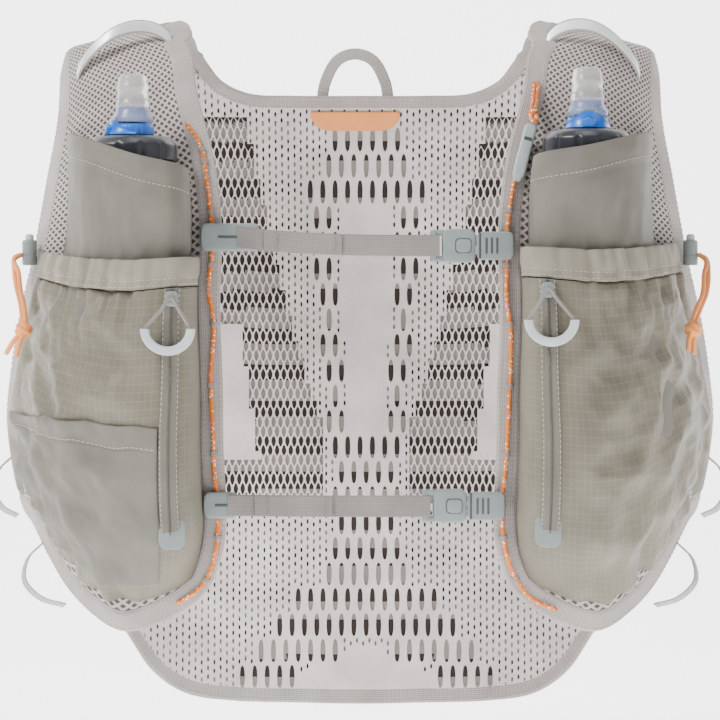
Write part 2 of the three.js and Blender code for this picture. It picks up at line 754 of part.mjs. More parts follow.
// A plate with a rounded outline in the x-z plane, its front at -Y.
function plate(width, height, thickness, corner, bevel = 0.8) {
  const shape = new THREE.Shape();
  const [w, h] = [width / 2 - bevel, height / 2 - bevel];
  const r = Math.max(corner - bevel, 0.2);
  shape.moveTo(-w + r, -h);
  shape.lineTo(w - r, -h);
  shape.quadraticCurveTo(w, -h, w, -h + r);
  shape.lineTo(w, h - r);
  shape.quadraticCurveTo(w, h, w - r, h);
  shape.lineTo(-w + r, h);
  shape.quadraticCurveTo(-w, h, -w, h - r);
  shape.lineTo(-w, -h + r);
  shape.quadraticCurveTo(-w, -h, -w + r, -h);
  const geometry = new THREE.ExtrudeGeometry(shape, {
    depth: thickness - 2 * bevel,
    bevelEnabled: true,
    bevelThickness: bevel,
    bevelSize: bevel,
    bevelSegments: 1,
    curveSegments: 3,
  });
  geometry.translate(0, 0, bevel);
  geometry.rotateX(Math.PI / 2);
  return geometry;
}

// A closed loop of round section whose radius changes along it, in the x-z plane.
function ringTube(points, radii, sides = 6) {
  const count = points.length;
  const verts = [];
  const faces = [];
  points.forEach((p, j) => {
    const run = points[(j + 1) % count].clone().sub(points[(j + count - 1) % count]).normalize();
    const aside = new THREE.Vector3(-run.z, 0, run.x);
    for (let i = 0; i < sides; i++) {
      const turn = (2 * Math.PI * i) / sides;
      const out = p.clone().addScaledVector(aside, radii[j] * Math.cos(turn));
      out.y += radii[j] * Math.sin(turn);
      verts.push(out);
    }
  });
  for (let j = 0; j < count; j++)
    for (let i = 0; i < sides; i++) {
      const [a, b] = [j * sides + i, j * sides + ((i + 1) % sides)];
      const [c, d] = [((j + 1) % count) * sides + i, ((j + 1) % count) * sides + ((i + 1) % sides)];
      faces.push([a, c, d], [a, d, b]);
    }
  return solid(verts, faces);
}

// Places on the hardware, in millimetres from the centre line and down from the shoulder tops.
const LOCK = { out: 191, drop: 152, stand: 1 };
const ZIP_COLUMNS = { from: 3, to: 4 };
const ZIP_ROWS = { from: 0, to: 9 };
const ZIP_GRIP = { width: 26, drop: 30, arm: 1.2, grip: 2.7 };

function zipPull(anchor, side) {
  const { width, drop, arm, grip } = ZIP_GRIP;
  const points = [];
  const radii = [];
  const gripHalf = Math.PI * 0.62;
  points.push(new THREE.Vector3(anchor.x, anchor.y, anchor.z));
  radii.push(arm);
  const low = drop - width / 2;
  const steps = 12;
  for (let i = 0; i <= steps; i++) {
    const turn = lerp(-gripHalf, gripHalf, i / steps);
    const x = anchor.x + (width / 2) * Math.sin(turn) + side * 2;
    const z = anchor.z - low - (width / 2) * Math.cos(turn);
    const onGrip = i >= 1 && i <= steps - 1;
    points.push(new THREE.Vector3(x, anchor.y, z));
    radii.push(onGrip ? grip : arm);
  }
  return ringTube(points, radii);
}

function loft(sections) {
  const verts = sections.flat();
  const around = sections[0].length;
  const faces = [];
  for (let j = 0; j < sections.length - 1; j++)
    for (let i = 0; i < around; i++) {
      const [a, b] = [j * around + i, j * around + ((i + 1) % around)];
      faces.push([a, b, b + around], [a, b + around, a + around]);
    }
  for (const [j, flip] of [
    [0, true],
    [sections.length - 1, false],
  ]) {
    const hub = verts.length;
    const centre = new THREE.Vector3();
    sections[j].forEach((p) => centre.add(p));
    verts.push(centre.divideScalar(around));
    for (let i = 0; i < around; i++) {
      const [a, b] = [j * around + i, j * around + ((i + 1) % around)];
      faces.push(flip ? [hub, b, a] : [hub, a, b]);
    }
  }
  return solid(verts, faces);
}

for (const front of FRONTS) {
  const { name, side, mouth, hemTop, hemFoot } = front;
  const panel = (u, v) => onSide(side, frontPatch(u, v));
  add("front_panel_" + name, cloth(panel, frontColumns, frontRows, FRONT_WALL, 0, -RIDGE_GAP / 2), NET);
  const flank = (u, v) => onSide(side, sidePatch(lerp(0.025, 0.975, u), lerp(0.002, 0.98, v)));
  add("side_panel_" + name, cloth(flank, sideColumns, shares(2), SIDE_WALL), KNIT);

  const innerSpots = placketSpots.map((spot) => onSide(side, spot));
  const placket = tape(innerSpots, PLACKET_WIDTH, side);
  placket.translate(0, -RIDGE_GAP / 2, 0);
  add("placket_" + name, placket, BINDING);
  const ringSpots = armholeRing.map((spot) => onSide(side, spot));
  add("armhole_binding_" + name, tape(ringSpots, ARMHOLE_TAPE, -side, true), BINDING);

  // Pocket walls over the panel
  const baseLift = (thick) => FRONT_WALL / 2 + GAP + thick / 2 + 0.3;
  const bottleSpot = (across, down) => {
    const u = lerp(
      lerp(BOTTLE_INNER.mouth, BOTTLE_INNER.foot, Math.min(3 * down, 1)),
      lerp(BOTTLE_OUTER.mouth, BOTTLE_OUTER.foot, Math.min(3 * down, 1)),
      across,
    );
    return panel(u, lerp(lerp(mouth.inner, mouth.outer, across), BOTTLE_FOOT, down));
  };
  const bottle = pocketWall(side, {
    section: BOTTLE_SECTION,
    fullness: BOTTLE_FULLNESS,
    depth: BOTTLE_DEPTH,
    lift: baseLift(BOTTLE_WALL),
    spot: bottleSpot,
  });
  add("bottle_pocket_" + name, wall(gridOf(bottle, BOTTLE_COLUMNS, BOTTLE_ROWS), BOTTLE_WALL), STRETCH);

  const seamGap = 0.0022;
  const cargoSpot = (across, down) =>
    panel(
      lerp(POCKET_INNER, POCKET_OUTER, across),
      lerp(lerp(hemFoot.inner, hemFoot.outer, across) + seamGap, POCKET_FOOT, down),
    );
  const cargo = pocketWall(side, {
    section: CARGO_SECTION,
    fullness: CARGO_FULLNESS,
    depth: CARGO_DEPTH,
    lift: baseLift(HEM_WALL),
    spot: cargoSpot,
  });
  const cargoGrid = gridOf(cargo, CARGO_COLUMNS, CARGO_ROWS);
  add("cargo_pocket_" + name, wall(cargoGrid, CARGO_WALL), RIPSTOP);

  const hemSpot = (across, down) =>
    panel(
      lerp(POCKET_INNER, POCKET_OUTER, across),
      lerp(
        lerp(hemTop.inner, hemTop.outer, across),
        lerp(hemFoot.inner, hemFoot.outer, across),
        down,
      ),
    );
  const hem = pocketWall(side, {
    section: CARGO_SECTION,
    fullness: [
      { down: 0, deep: 1 },
      { down: 1, deep: 1 },
    ],
    depth: CARGO_DEPTH,
    lift: baseLift(HEM_WALL),
    spot: hemSpot,
    gather: GATHER_DEPTH,
  });
  const hemColumns = [0, 0.025, 0.055, ...shares(25).map((share) => lerp(0.09, 0.95, share)), 1];
  add("pocket_hem_" + name, wall(gridOf(hem, hemColumns, [0, 1]), HEM_WALL), RIPSTOP);

  // Zip on the cargo pocket's inner part, between two of its columns
  const zipFace = raised(cargoGrid, side, CARGO_WALL / 2 + ZIP_LIFT + ZIP_WALL / 2);
  const zipGrid = zipFace
    .slice(ZIP_ROWS.from, ZIP_ROWS.to)
    .map((line) =>
      [0.05, 0.5, 0.95].map((share) => {
        const point = blend(line[ZIP_COLUMNS.from], line[ZIP_COLUMNS.to], share);
        if (share === 0.5) point.y -= 0.9;
        return point;
      }),
    );
  add("zip_tape_" + name, wall(zipGrid, ZIP_WALL), RIPSTOP);
  const zipTop = blend(zipGrid[0][1], zipGrid[1][1], 0.4);
  const slider = plate(7.5, 9, 3, 2);
  slider.translate(zipTop.x, zipTop.y - ZIP_WALL / 2 - 0.55, zipTop.z);
  add("zip_slider_" + name, slider, ACETAL);
  const pullAnchor = new THREE.Vector3(zipTop.x, zipTop.y - ZIP_WALL / 2 - 3.9 - ZIP_GRIP.arm, zipTop.z);
  add("zip_pull_" + name, zipPull(pullAnchor, side), PALE_PLASTIC);

  // Flask with its cap, shut-off dial and bite valve
  const capBase = -(front.capTop * BACK_LENGTH + CAP_HEIGHT);
  const around = 14;
  const flaskAt = (row) =>
    Array.from({ length: around }, (_, i) => {
      const turnOf = (2 * Math.PI * i) / around;
      const round = (v) => Math.sign(v) * Math.abs(v) ** 0.8;
      return new THREE.Vector3(
        side * FLASK_OUT + ((FLASK_WIDTH * row.wide) / 2) * round(Math.cos(turnOf)),
        -FLASK_REACH * row.reach + ((FLASK_THICK * row.thick) / 2) * round(Math.sin(turnOf)),
        capBase - GAP - FLASK_HEIGHT * (1 - row.rise),
      );
    });
  add("flask_body_" + name, loft(FLASK.map(flaskAt)), CLEAR_FILM);

  const flaskAxis = (geometry, z) => {
    geometry.translate(side * FLASK_OUT, -FLASK_REACH * FLASK.at(-1).reach, z);
    return geometry;
  };
  const stemTop = CAP_HEIGHT + DIAL_HEIGHT + 2 * GAP;
  const cap = turned([
    [0, 0],
    [CAP_RADIUS - 1.5, 0],
    [CAP_RADIUS, 2],
    [CAP_RADIUS, CAP_HEIGHT - 6],
    [CAP_RADIUS - 3, CAP_HEIGHT - 1.5],
    [CAP_RADIUS - 8, CAP_HEIGHT],
    [STEM_RADIUS, CAP_HEIGHT],
    [STEM_RADIUS, stemTop],
    [0, stemTop],
  ], 14);
  add("flask_cap_" + name, flaskAxis(cap, capBase), CAP_PLASTIC);

  const bore = STEM_RADIUS + GAP;
  const dialRing = turned([
    [bore, 0],
    [DIAL_RADIUS, 0],
    [DIAL_RADIUS, DIAL_HEIGHT - 2],
    [DIAL_RADIUS - 2, DIAL_HEIGHT],
    [bore, DIAL_HEIGHT],
    [bore, 0],
  ]);
  const lever = plate(9, 8, DIAL_HEIGHT - 1.5, 3);
  lever.rotateX(-Math.PI / 2);
  lever.translate(DIAL_RADIUS - 0.5, 0, 0);
  lever.rotateZ(THREE.MathUtils.degToRad(front.dialTurn));
  add("valve_dial_" + name, flaskAxis(joined(dialRing, lever), capBase + CAP_HEIGHT + GAP), BLUE_PLASTIC);

  const valve = turned([
    [0, 0],
    [VALVE_RADIUS + 3.2, 0],
    [VALVE_RADIUS + 3.2, 3],
    [VALVE_RADIUS + 0.6, 8],
    [VALVE_RADIUS, 16],
    [VALVE_RADIUS - 0.6, VALVE_HEIGHT - 1.2],
    [VALVE_RADIUS - 2, VALVE_HEIGHT],
    [0, VALVE_HEIGHT],
  ]);
  add("bite_valve_" + name, flaskAxis(valve, capBase + stemTop + GAP), SILICONE);

  if (side === LEFT) {
    const face = raised(cargoGrid, side, CARGO_WALL / 2 + 0.6 + STRETCH_WALL / 2);
    const columns = STRETCH_TOP.map(({ across }) => CARGO_COLUMNS.indexOf(across));
    const faceAt = (column, down) => {
      const row = Math.max(CARGO_ROWS.findLastIndex((mark) => mark <= down), 0);
      const share = (down - CARGO_ROWS[row]) / (CARGO_ROWS[row + 1] - CARGO_ROWS[row]);
      return blend(face[row][column], face[row + 1][column], share);
    };
    const rowAt = (downOf) => columns.map((column, i) => faceAt(column, downOf(STRETCH_TOP[i].down)));
    const hemRows = [rowAt((top) => top), rowAt((top) => top + STRETCH_HEM)];
    const bodyRows = [
      rowAt((top) => top + STRETCH_HEM + STRETCH_SEAM),
      rowAt((top) => Math.max(top + STRETCH_HEM + 4 * STRETCH_SEAM, 0.6)),
      ...CARGO_ROWS.slice(7, -1).map((down) => rowAt(() => down)),
    ];
    add("stretch_pocket", wall(bodyRows, STRETCH_WALL), STRETCH);
    add("stretch_pocket_hem", wall(hemRows, STRETCH_WALL + 0.4), STRETCH);
  }

  // Cord lock at the outer end of the pocket's hem
  const lockSpot = spotAt(side * LOCK.out, -LOCK.drop);
  const lockAt = lifted(lockSpot, TAPE_WALL / 2 + LOCK.stand + LOCK_RADIUS);
  const well = LOCK_HEIGHT - 4.5;
  const barrel = turned([
    [0, 0],
    [LOCK_RADIUS, 0],
    [LOCK_RADIUS, LOCK_HEIGHT],
    [BUTTON_RADIUS + GAP, LOCK_HEIGHT],
    [BUTTON_RADIUS + GAP, LOCK_HEIGHT - well],
    [0, LOCK_HEIGHT - well],
  ], 12);
  barrel.translate(lockAt.x, lockAt.y, lockAt.z);
  add("cord_lock_barrel_" + name, barrel, ACETAL);
  const foot = LOCK_HEIGHT - well + BUTTON_TRAVEL + GAP;
  const button = turned([
    [0, foot],
    [BUTTON_RADIUS, foot],
    [BUTTON_RADIUS, LOCK_HEIGHT + BUTTON_TRAVEL - 0.6],
    [BUTTON_RADIUS - 0.8, LOCK_HEIGHT + BUTTON_TRAVEL + 0.8],
    [0, LOCK_HEIGHT + BUTTON_TRAVEL + 0.8],
  ], 12);
  button.translate(lockAt.x, lockAt.y, lockAt.z);
  add("cord_lock_button_" + name, button, ACETAL);
}

// Laces stitched along both edge tapes. Their routes keep hand-chosen points, out from the centre line and
// down from the shoulder tops.
const LACE_ROUTES = {
  left: [
    [-101, 70], [-93, 81.5], [-88.4, 104], [-85.9, 124], [-85.1, 144], [-87, 167], [-84.2, 184], [-84.6, 201],
    [-85.7, 218], [-84.3, 246.6], [-83.5, 272], [-81.5, 287], [-81.2, 303.5], [-83.6, 322], [-91, 337.5],
    [-104.8, 347.5],
  ],
  right: [
    [97.8, 79], [93.6, 91], [89.3, 103.5], [85.2, 129], [84.6, 150], [84.5, 172.5], [86.6, 190], [86.4, 210],
    [85.6, 230], [83.4, 270], [81.3, 287.5], [82.4, 310], [87.4, 329], [97.5, 344], [112.6, 351.5],
  ],
};
const LACE_LIFT = TAPE_WALL / 2 + 0.7 + LACE_DIAMETER / 2;
const onFront = (x, drop, lift) => {
  const point = lifted(spotAt(x, -drop), lift);
  point.y -= RIDGE_GAP / 2;
  return point;
};
for (const { name } of SIDES) {
  const route = LACE_ROUTES[name].map(([x, drop]) => onFront(x, drop, LACE_LIFT));
  add("edge_lace_" + name, cord(route, LACE_DIAMETER, 34, 6), LACE);
}

// Whistle on its doubled cord, hung from the right edge
const WHISTLE = { length: 34, width: 7.5, thick: 7, tilt: 15 };
const WHISTLE_CORD = [
  { out: 103.6, drop: 45, lift: -1.4 },
  { out: 102.4, drop: 53, lift: 0.3 },
  { out: 100.8, drop: 61, lift: 2 },
  { out: 99.4, drop: 67, lift: 5 },
  { out: 98.6, drop: 74, lift: 11 },
];
const strandApart = LACE_DIAMETER * 0.46;
const overLace = LACE_LIFT + 1;
const strands = [-1, 1].map((way) =>
  cord(
    WHISTLE_CORD.map(({ out, drop, lift }) => onFront(out + way * strandApart, drop, overLace + lift)),
    LACE_DIAMETER,
    8,
  ),
);
const knotAt = onFront(99.4, 67, overLace + 5);
const knot = new THREE.IcosahedronGeometry(3.2, 1);
knot.deleteAttribute("uv");
knot.deleteAttribute("normal");
knot.translate(knotAt.x, knotAt.y, knotAt.z);
add("whistle_cord", joined(...strands, knot), LACE);
const whistle = plate(WHISTLE.width, WHISTLE.length, WHISTLE.thick, 2.6, 1);
whistle.translate(0, 0, -WHISTLE.length / 2);
whistle.rotateX(THREE.MathUtils.degToRad(-14));
whistle.rotateY(THREE.MathUtils.degToRad(WHISTLE.tilt));
whistle.translate(knotAt.x - 1.3, knotAt.y - 6, knotAt.z - 6.9);
add("whistle", whistle, PALE_PLASTIC);

// Sternum straps: a webbing between a hook on the left lace and a buckle that hooks on the right lace
const STRAPS = [
  { name: "upper", drop: 141, hook: { out: -75, drop: 136, width: 34, height: 16 }, buckle: 67, foot: 0 },
  { name: "lower", drop: 291, hook: { out: -80, drop: 290.5, width: 20, height: 15 }, buckle: 61.5, foot: 1 },
];
const BUCKLE = { socket: 26, plug: 22, height: 19.5, thick: 8 };
const STRAP_STAND = 8.5;
for (const { name, drop, hook, buckle } of STRAPS) {
  const z = -drop;
  const y = onFront(-82, drop, STRAP_STAND).y;
  const path = shares(8).map((share) => {
    const x = lerp(hook.out + 4, buckle - BUCKLE.socket + 5, share);
    const rise = (1 - share) ** 3 * (drop - hook.drop);
    return new THREE.Vector3(x, y - 1.2 * Math.sin(Math.PI * share), z + rise);
  });
  const upright = path.map(() => new THREE.Vector3(0, 0, 1));
  const webbing = ribbon(path, upright, WEBBING_WIDTH, WEBBING_WALL);
  add("sternum_webbing_" + name, webbing, TAPE_GREY);
  const slot = ribbon(path, upright, WEBBING_WIDTH + 2 * GAP, WEBBING_WALL + 2 * GAP);
  const hookBody = plate(hook.width, hook.height, BUCKLE.thick - 1, 3);
  hookBody.translate(hook.out, y + BUCKLE.thick / 2 - 0.5, -hook.drop);
  add("sternum_hook_" + name, cut(hookBody, slot), ACETAL);
  const socket = plate(BUCKLE.socket, BUCKLE.height, BUCKLE.thick, 3.5);
  socket.translate(buckle - BUCKLE.socket / 2, y + BUCKLE.thick / 2, z);
  add("buckle_socket_" + name, cut(socket, slot), ACETAL);
  const plug = plate(BUCKLE.plug, BUCKLE.height - 3, BUCKLE.thick - 1.5, 3);
  plug.translate(buckle + BUCKLE.plug / 2 + GAP, y + BUCKLE.thick / 2 - 0.75, z);
  add("buckle_plug_" + name, plug, ACETAL);
}

// Ribbon loops. Each path's points are out from the centre line, down from the shoulder tops and along Y.
function loopPath(rows) {
  const curve = new THREE.CatmullRomCurve3(
    rows.map(([x, drop, y]) => new THREE.Vector3(x, y, -drop)),
    false,
    "centripetal",
  );
  return curve.getPoints(10);
}
const HANG_LOOP = [
  [-24, 46.5, 73], [-22, 33, 72.4], [-14, 18.5, 71.6], [-3, 14.5, 71.4], [8, 18.5, 71.6], [16, 33, 72.4],
  [18, 46.5, 73],
];
const hangPath = loopPath(HANG_LOOP);
const inPlane = hangPath.map((p, i) => {
  const run = hangPath[Math.min(i + 1, hangPath.length - 1)].clone().sub(hangPath[Math.max(i - 1, 0)]);
  return new THREE.Vector3(-run.z, 0, run.x).normalize();
});
add("hang_loop", ribbon(hangPath, inPlane, 7, RIBBON_WALL + 0.4), TAPE_GREY);

const LABEL_SIZE = { top: 56, foot: 44, height: 11.5, drop: 49.6, wall: 0.8 };
const labelGrid = shares(2).map((down) =>
  shares(6).map((across) => {
    const half = lerp(LABEL_SIZE.top, LABEL_SIZE.foot, down ** 2) / 2;
    const x = lerp(-half, half, across) - 3;
    const drop = LABEL_SIZE.drop + LABEL_SIZE.height * down;
    const spot = spotAt(x, -drop);
    const back = { angle: 180 - spot.angle, drop: spot.drop };
    const point = lifted(back, -(BACK_WALL / 2 + 0.6 + LABEL_SIZE.wall / 2));
    point.y += RIDGE_GAP / 2;
    return point;
  }),
);
add("neck_label", wall(labelGrid, LABEL_SIZE.wall), LABEL);

// Reflective loops that stand over the front of each shoulder
const SHOULDER_LOOPS = {
  left: { from: -113, to: -168, rise: 11, width: 9, drop: 15 },
  right: { from: 112, to: 166, rise: 12, width: 9, drop: 15 },
};
for (const { name } of SIDES) {
  const { from, to, rise, width, drop } = SHOULDER_LOOPS[name];
  const grid = shares(10).map((share) => {
    const x = lerp(from, to, share);
    const arch = Math.sin(Math.PI * share) ** 0.6;
    return [0, width].map((down) => {
      const ridgeZ = -ridgeDrop(0) * BACK_LENGTH * share;
      const point = lifted(spotAt(x, ridgeZ - drop * (1 - 0.45 * arch) - down * 0.55), FRONT_WALL / 2 + 1);
      point.y -= rise * arch * 0.5 + RIDGE_GAP / 2;
      point.z += rise * arch;
      return point;
    });
  });
  add("shoulder_loop_" + name, wall(grid, RIBBON_WALL), REFLECTIVE);
}

// Ribbon loops at the lower sides
const SIDE_LOOPS = [
  { name: "side_loop_upper", rows: [
    [211, 266, -12], [218, 273, -13], [221, 285, -15], [216, 296, -17], [206.5, 301, -19],
  ] },
  { name: "side_loop_lower", rows: [
    [190, 317, -46], [197.5, 325, -49], [199, 338, -54], [189, 348, -58], [174.5, 352, -62],
  ] },
];
for (const { name: sideName, side } of SIDES)
  for (const { name, rows } of SIDE_LOOPS) {
    const path = loopPath(rows.map(([x, drop, y]) => [side * x, drop, y]));
    const depthWay = path.map(() => new THREE.Vector3(0, 1, 0));
    add(name + "_" + sideName, ribbon(path, depthWay, 8, RIBBON_WALL), TAPE_GREY);
  }

// Elastic cords that leave the cord locks, each doubled down to its knot. The points are hand chosen:
// out from the centre line, along Y and down from the shoulder tops.
const ELASTIC_ROUTES = {
  left: [
    [
      [-201.5, -49.4, 144.5], [-205, -51.5, 146], [-204.6, -59.3, 153], [-202.6, -68.7, 163],
      [-199, -79.3, 174], [-197, -87.8, 184], [-196.5, -91.5, 189.5], [-202, -90, 196],
      [-206.5, -86, 203],
    ],
    [
      [-201.4, -52.8, 144.5], [-205, -56, 147.5], [-201.6, -64.4, 155], [-199.6, -73.3, 165],
      [-196.6, -83, 175], [-195, -90.8, 184], [-195, -94, 189.5], [-198, -94, 197], [-200, -92, 204.5],
    ],
  ],
  right: [
    [
      [201.5, -49.4, 144.5], [205.5, -52, 147], [206, -61.3, 156], [204, -72, 167], [199.2, -83, 177],
      [196, -90.2, 184], [195, -94.7, 189], [194.1, -96.2, 196], [193.9, -96.7, 203],
    ],
    [
      [201.4, -52.8, 144.5], [205, -56.4, 148], [202.8, -66.2, 157], [201, -76.8, 168],
      [196.3, -86.6, 177.5], [193.4, -93.2, 184], [192.5, -97.7, 189], [190.9, -99, 196],
      [190.5, -99.2, 201],
    ],
  ],
};
for (const { name } of SIDES) {
  const pair = ELASTIC_ROUTES[name].map((route) =>
    cord(route.map(([x, y, drop]) => new THREE.Vector3(x, y, -drop)), ELASTIC_DIAMETER, 9),
  );
  const [[kx, ky, kDrop], [mx, my]] = ELASTIC_ROUTES[name].map((route) => route[6]);
  const lump = new THREE.IcosahedronGeometry(5.4, 1);
  lump.deleteAttribute("uv");
  lump.deleteAttribute("normal");
  lump.scale(1, 0.85, 0.9);
  lump.translate((kx + mx) / 2, (ky + my) / 2, -kDrop);
  add("elastic_cord_" + name, joined(...pair, lump), ELASTIC);
}

export default vest;
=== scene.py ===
"""Visual model of a running hydration vest, dressed over its CAD frame."""

import logging
import math
from dataclasses import dataclass, field
from enum import Enum
from typing import Callable, Optional, Sequence

import bpy
import numpy as np
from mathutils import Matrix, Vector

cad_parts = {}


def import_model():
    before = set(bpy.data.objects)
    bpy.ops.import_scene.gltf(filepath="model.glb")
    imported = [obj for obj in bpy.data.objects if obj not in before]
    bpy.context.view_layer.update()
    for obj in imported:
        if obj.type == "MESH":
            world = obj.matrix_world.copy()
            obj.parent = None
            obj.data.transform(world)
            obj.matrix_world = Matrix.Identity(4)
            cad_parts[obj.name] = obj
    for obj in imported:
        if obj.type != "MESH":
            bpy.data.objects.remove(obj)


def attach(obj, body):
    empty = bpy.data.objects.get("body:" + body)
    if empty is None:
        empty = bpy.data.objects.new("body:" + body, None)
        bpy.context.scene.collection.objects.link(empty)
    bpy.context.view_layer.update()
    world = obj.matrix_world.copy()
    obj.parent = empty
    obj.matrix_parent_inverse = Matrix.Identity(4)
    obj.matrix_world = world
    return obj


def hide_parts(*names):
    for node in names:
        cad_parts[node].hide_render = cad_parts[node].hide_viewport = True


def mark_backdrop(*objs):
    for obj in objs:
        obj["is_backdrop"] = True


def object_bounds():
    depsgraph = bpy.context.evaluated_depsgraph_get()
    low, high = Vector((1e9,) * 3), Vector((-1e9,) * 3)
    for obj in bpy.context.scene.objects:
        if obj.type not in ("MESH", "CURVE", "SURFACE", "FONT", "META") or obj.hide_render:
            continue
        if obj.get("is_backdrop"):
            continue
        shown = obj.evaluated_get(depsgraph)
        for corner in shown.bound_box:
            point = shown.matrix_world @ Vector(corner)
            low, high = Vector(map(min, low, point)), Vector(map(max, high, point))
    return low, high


LOG = logging.getLogger("vest")
MM = 0.001
TAU = 2 * math.pi
BODY = "vest"
Array = np.ndarray
Piece = bpy.types.Object
Socket = bpy.types.NodeSocket


class Side(Enum):
    """The two sides of the vest, as the front is seen."""

    LEFT = -1
    RIGHT = 1

    @property
    def word(self) -> str:
        """The side's name in lower case."""
        return self.name.lower()


# ---------------------------------------------------------------- curves and surfaces


def track(rows: Sequence[Sequence[float]], column: int) -> Callable[[Array], Array]:
    """A smooth curve through a table that never overshoots it.

    Formula: a cubic Hermite curve whose slope at a row is the harmonic mean of the slopes beside it.

    Args:
        rows: Table rows; the first value of each is where the row stands.
        column: Which value of each row the curve passes through.

    Returns:
        A function of an array.
    """
    x = np.array([row[0] for row in rows], float)
    y = np.array([row[column] for row in rows], float)
    secant = np.diff(y) / np.diff(x)
    before, after = secant[:-1], secant[1:]
    product = before * after
    safe = np.where(np.abs(before + after) < 1e-12, 1, before + after)
    inner = np.where(product <= 0, 0, 2 * product / safe)
    slope = np.concatenate([[secant[0]], inner, [secant[-1]]])

    def value(at: Array) -> Array:
        """The curve's height at each place."""
        at = np.clip(np.asarray(at, float), x[0], x[-1])
        i = np.clip(np.searchsorted(x, at, side="right") - 1, 0, len(x) - 2)
        width = x[i + 1] - x[i]
        t = (at - x[i]) / width
        return (
            (1 + 2 * t) * (1 - t) ** 2 * y[i] + t * (1 - t) ** 2 * width * slope[i]
            + t * t * (3 - 2 * t) * y[i + 1]
            + t * t * (t - 1) * width * slope[i + 1]
        )

    return value


def smooth_line(points: Sequence[Sequence[float]], count: int) -> Array:
    """Points along a centripetal Catmull-Rom curve, evenly spread over its knots.

    Args:
        points: The knots, two or three values each.
        count: Number of steps.

    Returns:
        An array of count + 1 points.
    """
    p = np.asarray(points, float)
    last = len(p) - 1
    p = np.vstack([2 * p[0] - p[1], p, 2 * p[-1] - p[-2]])
    t = np.linspace(0, last, count + 1)
    i = np.minimum(t.astype(int), last - 1)
    w = (t - i)[:, None]
    a, b, c, d = (p[i + k] for k in range(4))

    def gap(m: Array, n: Array) -> Array:
        """The square root of the distance between two points."""
        return np.maximum(np.sqrt(np.linalg.norm(n - m, axis=1, keepdims=True)), 1e-6)

    ab, bc, cd = gap(a, b), gap(b, c), gap(c, d)
    start = ((b - a) / ab - (c - a) / (ab + bc) + (c - b) / bc) * bc
    end = ((c - b) / bc - (d - b) / (bc + cd) + (d - c) / cd) * bc
    return (
        (2 * w**3 - 3 * w**2 + 1) * b + (w**3 - 2 * w**2 + w) * start + (3 * w**2 - 2 * w**3) * c
        + (w**3 - w**2) * end
    )


def unit(v: Array) -> Array:
    """Vectors scaled to length one."""
    return v / np.maximum(np.linalg.norm(v, axis=-1, keepdims=True), 1e-12)


def run_along(points: Array) -> Array:
    """How far along a line each of its points lies."""
    return np.concatenate([[0], np.cumsum(np.linalg.norm(np.diff(points, axis=0), axis=1))])


def heading(path: Array, ring: bool = False) -> Array:
    """The direction of a line at each of its points; a ring closes on itself."""
    return unit(np.roll(path, -1, 0) - np.roll(path, 1, 0) if ring else np.gradient(path, axis=0))


def mix(a: Array | float, b: Array | float, t: Array | float) -> Array | float:
    """A straight blend."""
    return a + (b - a) * t


def signed_power(v: Array, power: float) -> Array:
    """A power that keeps the sign, which squares off a round section or points it."""
    return np.sign(v) * np.abs(v) ** power


def spread(columns: int, rows: int, u: tuple = (0, 1), v: tuple = (0, 1)) -> tuple[Array, Array]:
    """Even shares across and down a grid, each between its two limits."""
    across, down = np.linspace(*u, columns)[None], np.linspace(*v, rows)[:, None]
    across, down = np.broadcast_arrays(across, down)
    return across, down


def even(points: Array, count: int) -> Array:
    """The same line cut into steps of equal length."""
    run = run_along(points)
    goal = np.linspace(0, run[-1], count + 1)
    return np.stack([np.interp(goal, run, points[:, k]) for k in range(points.shape[1])], 1)


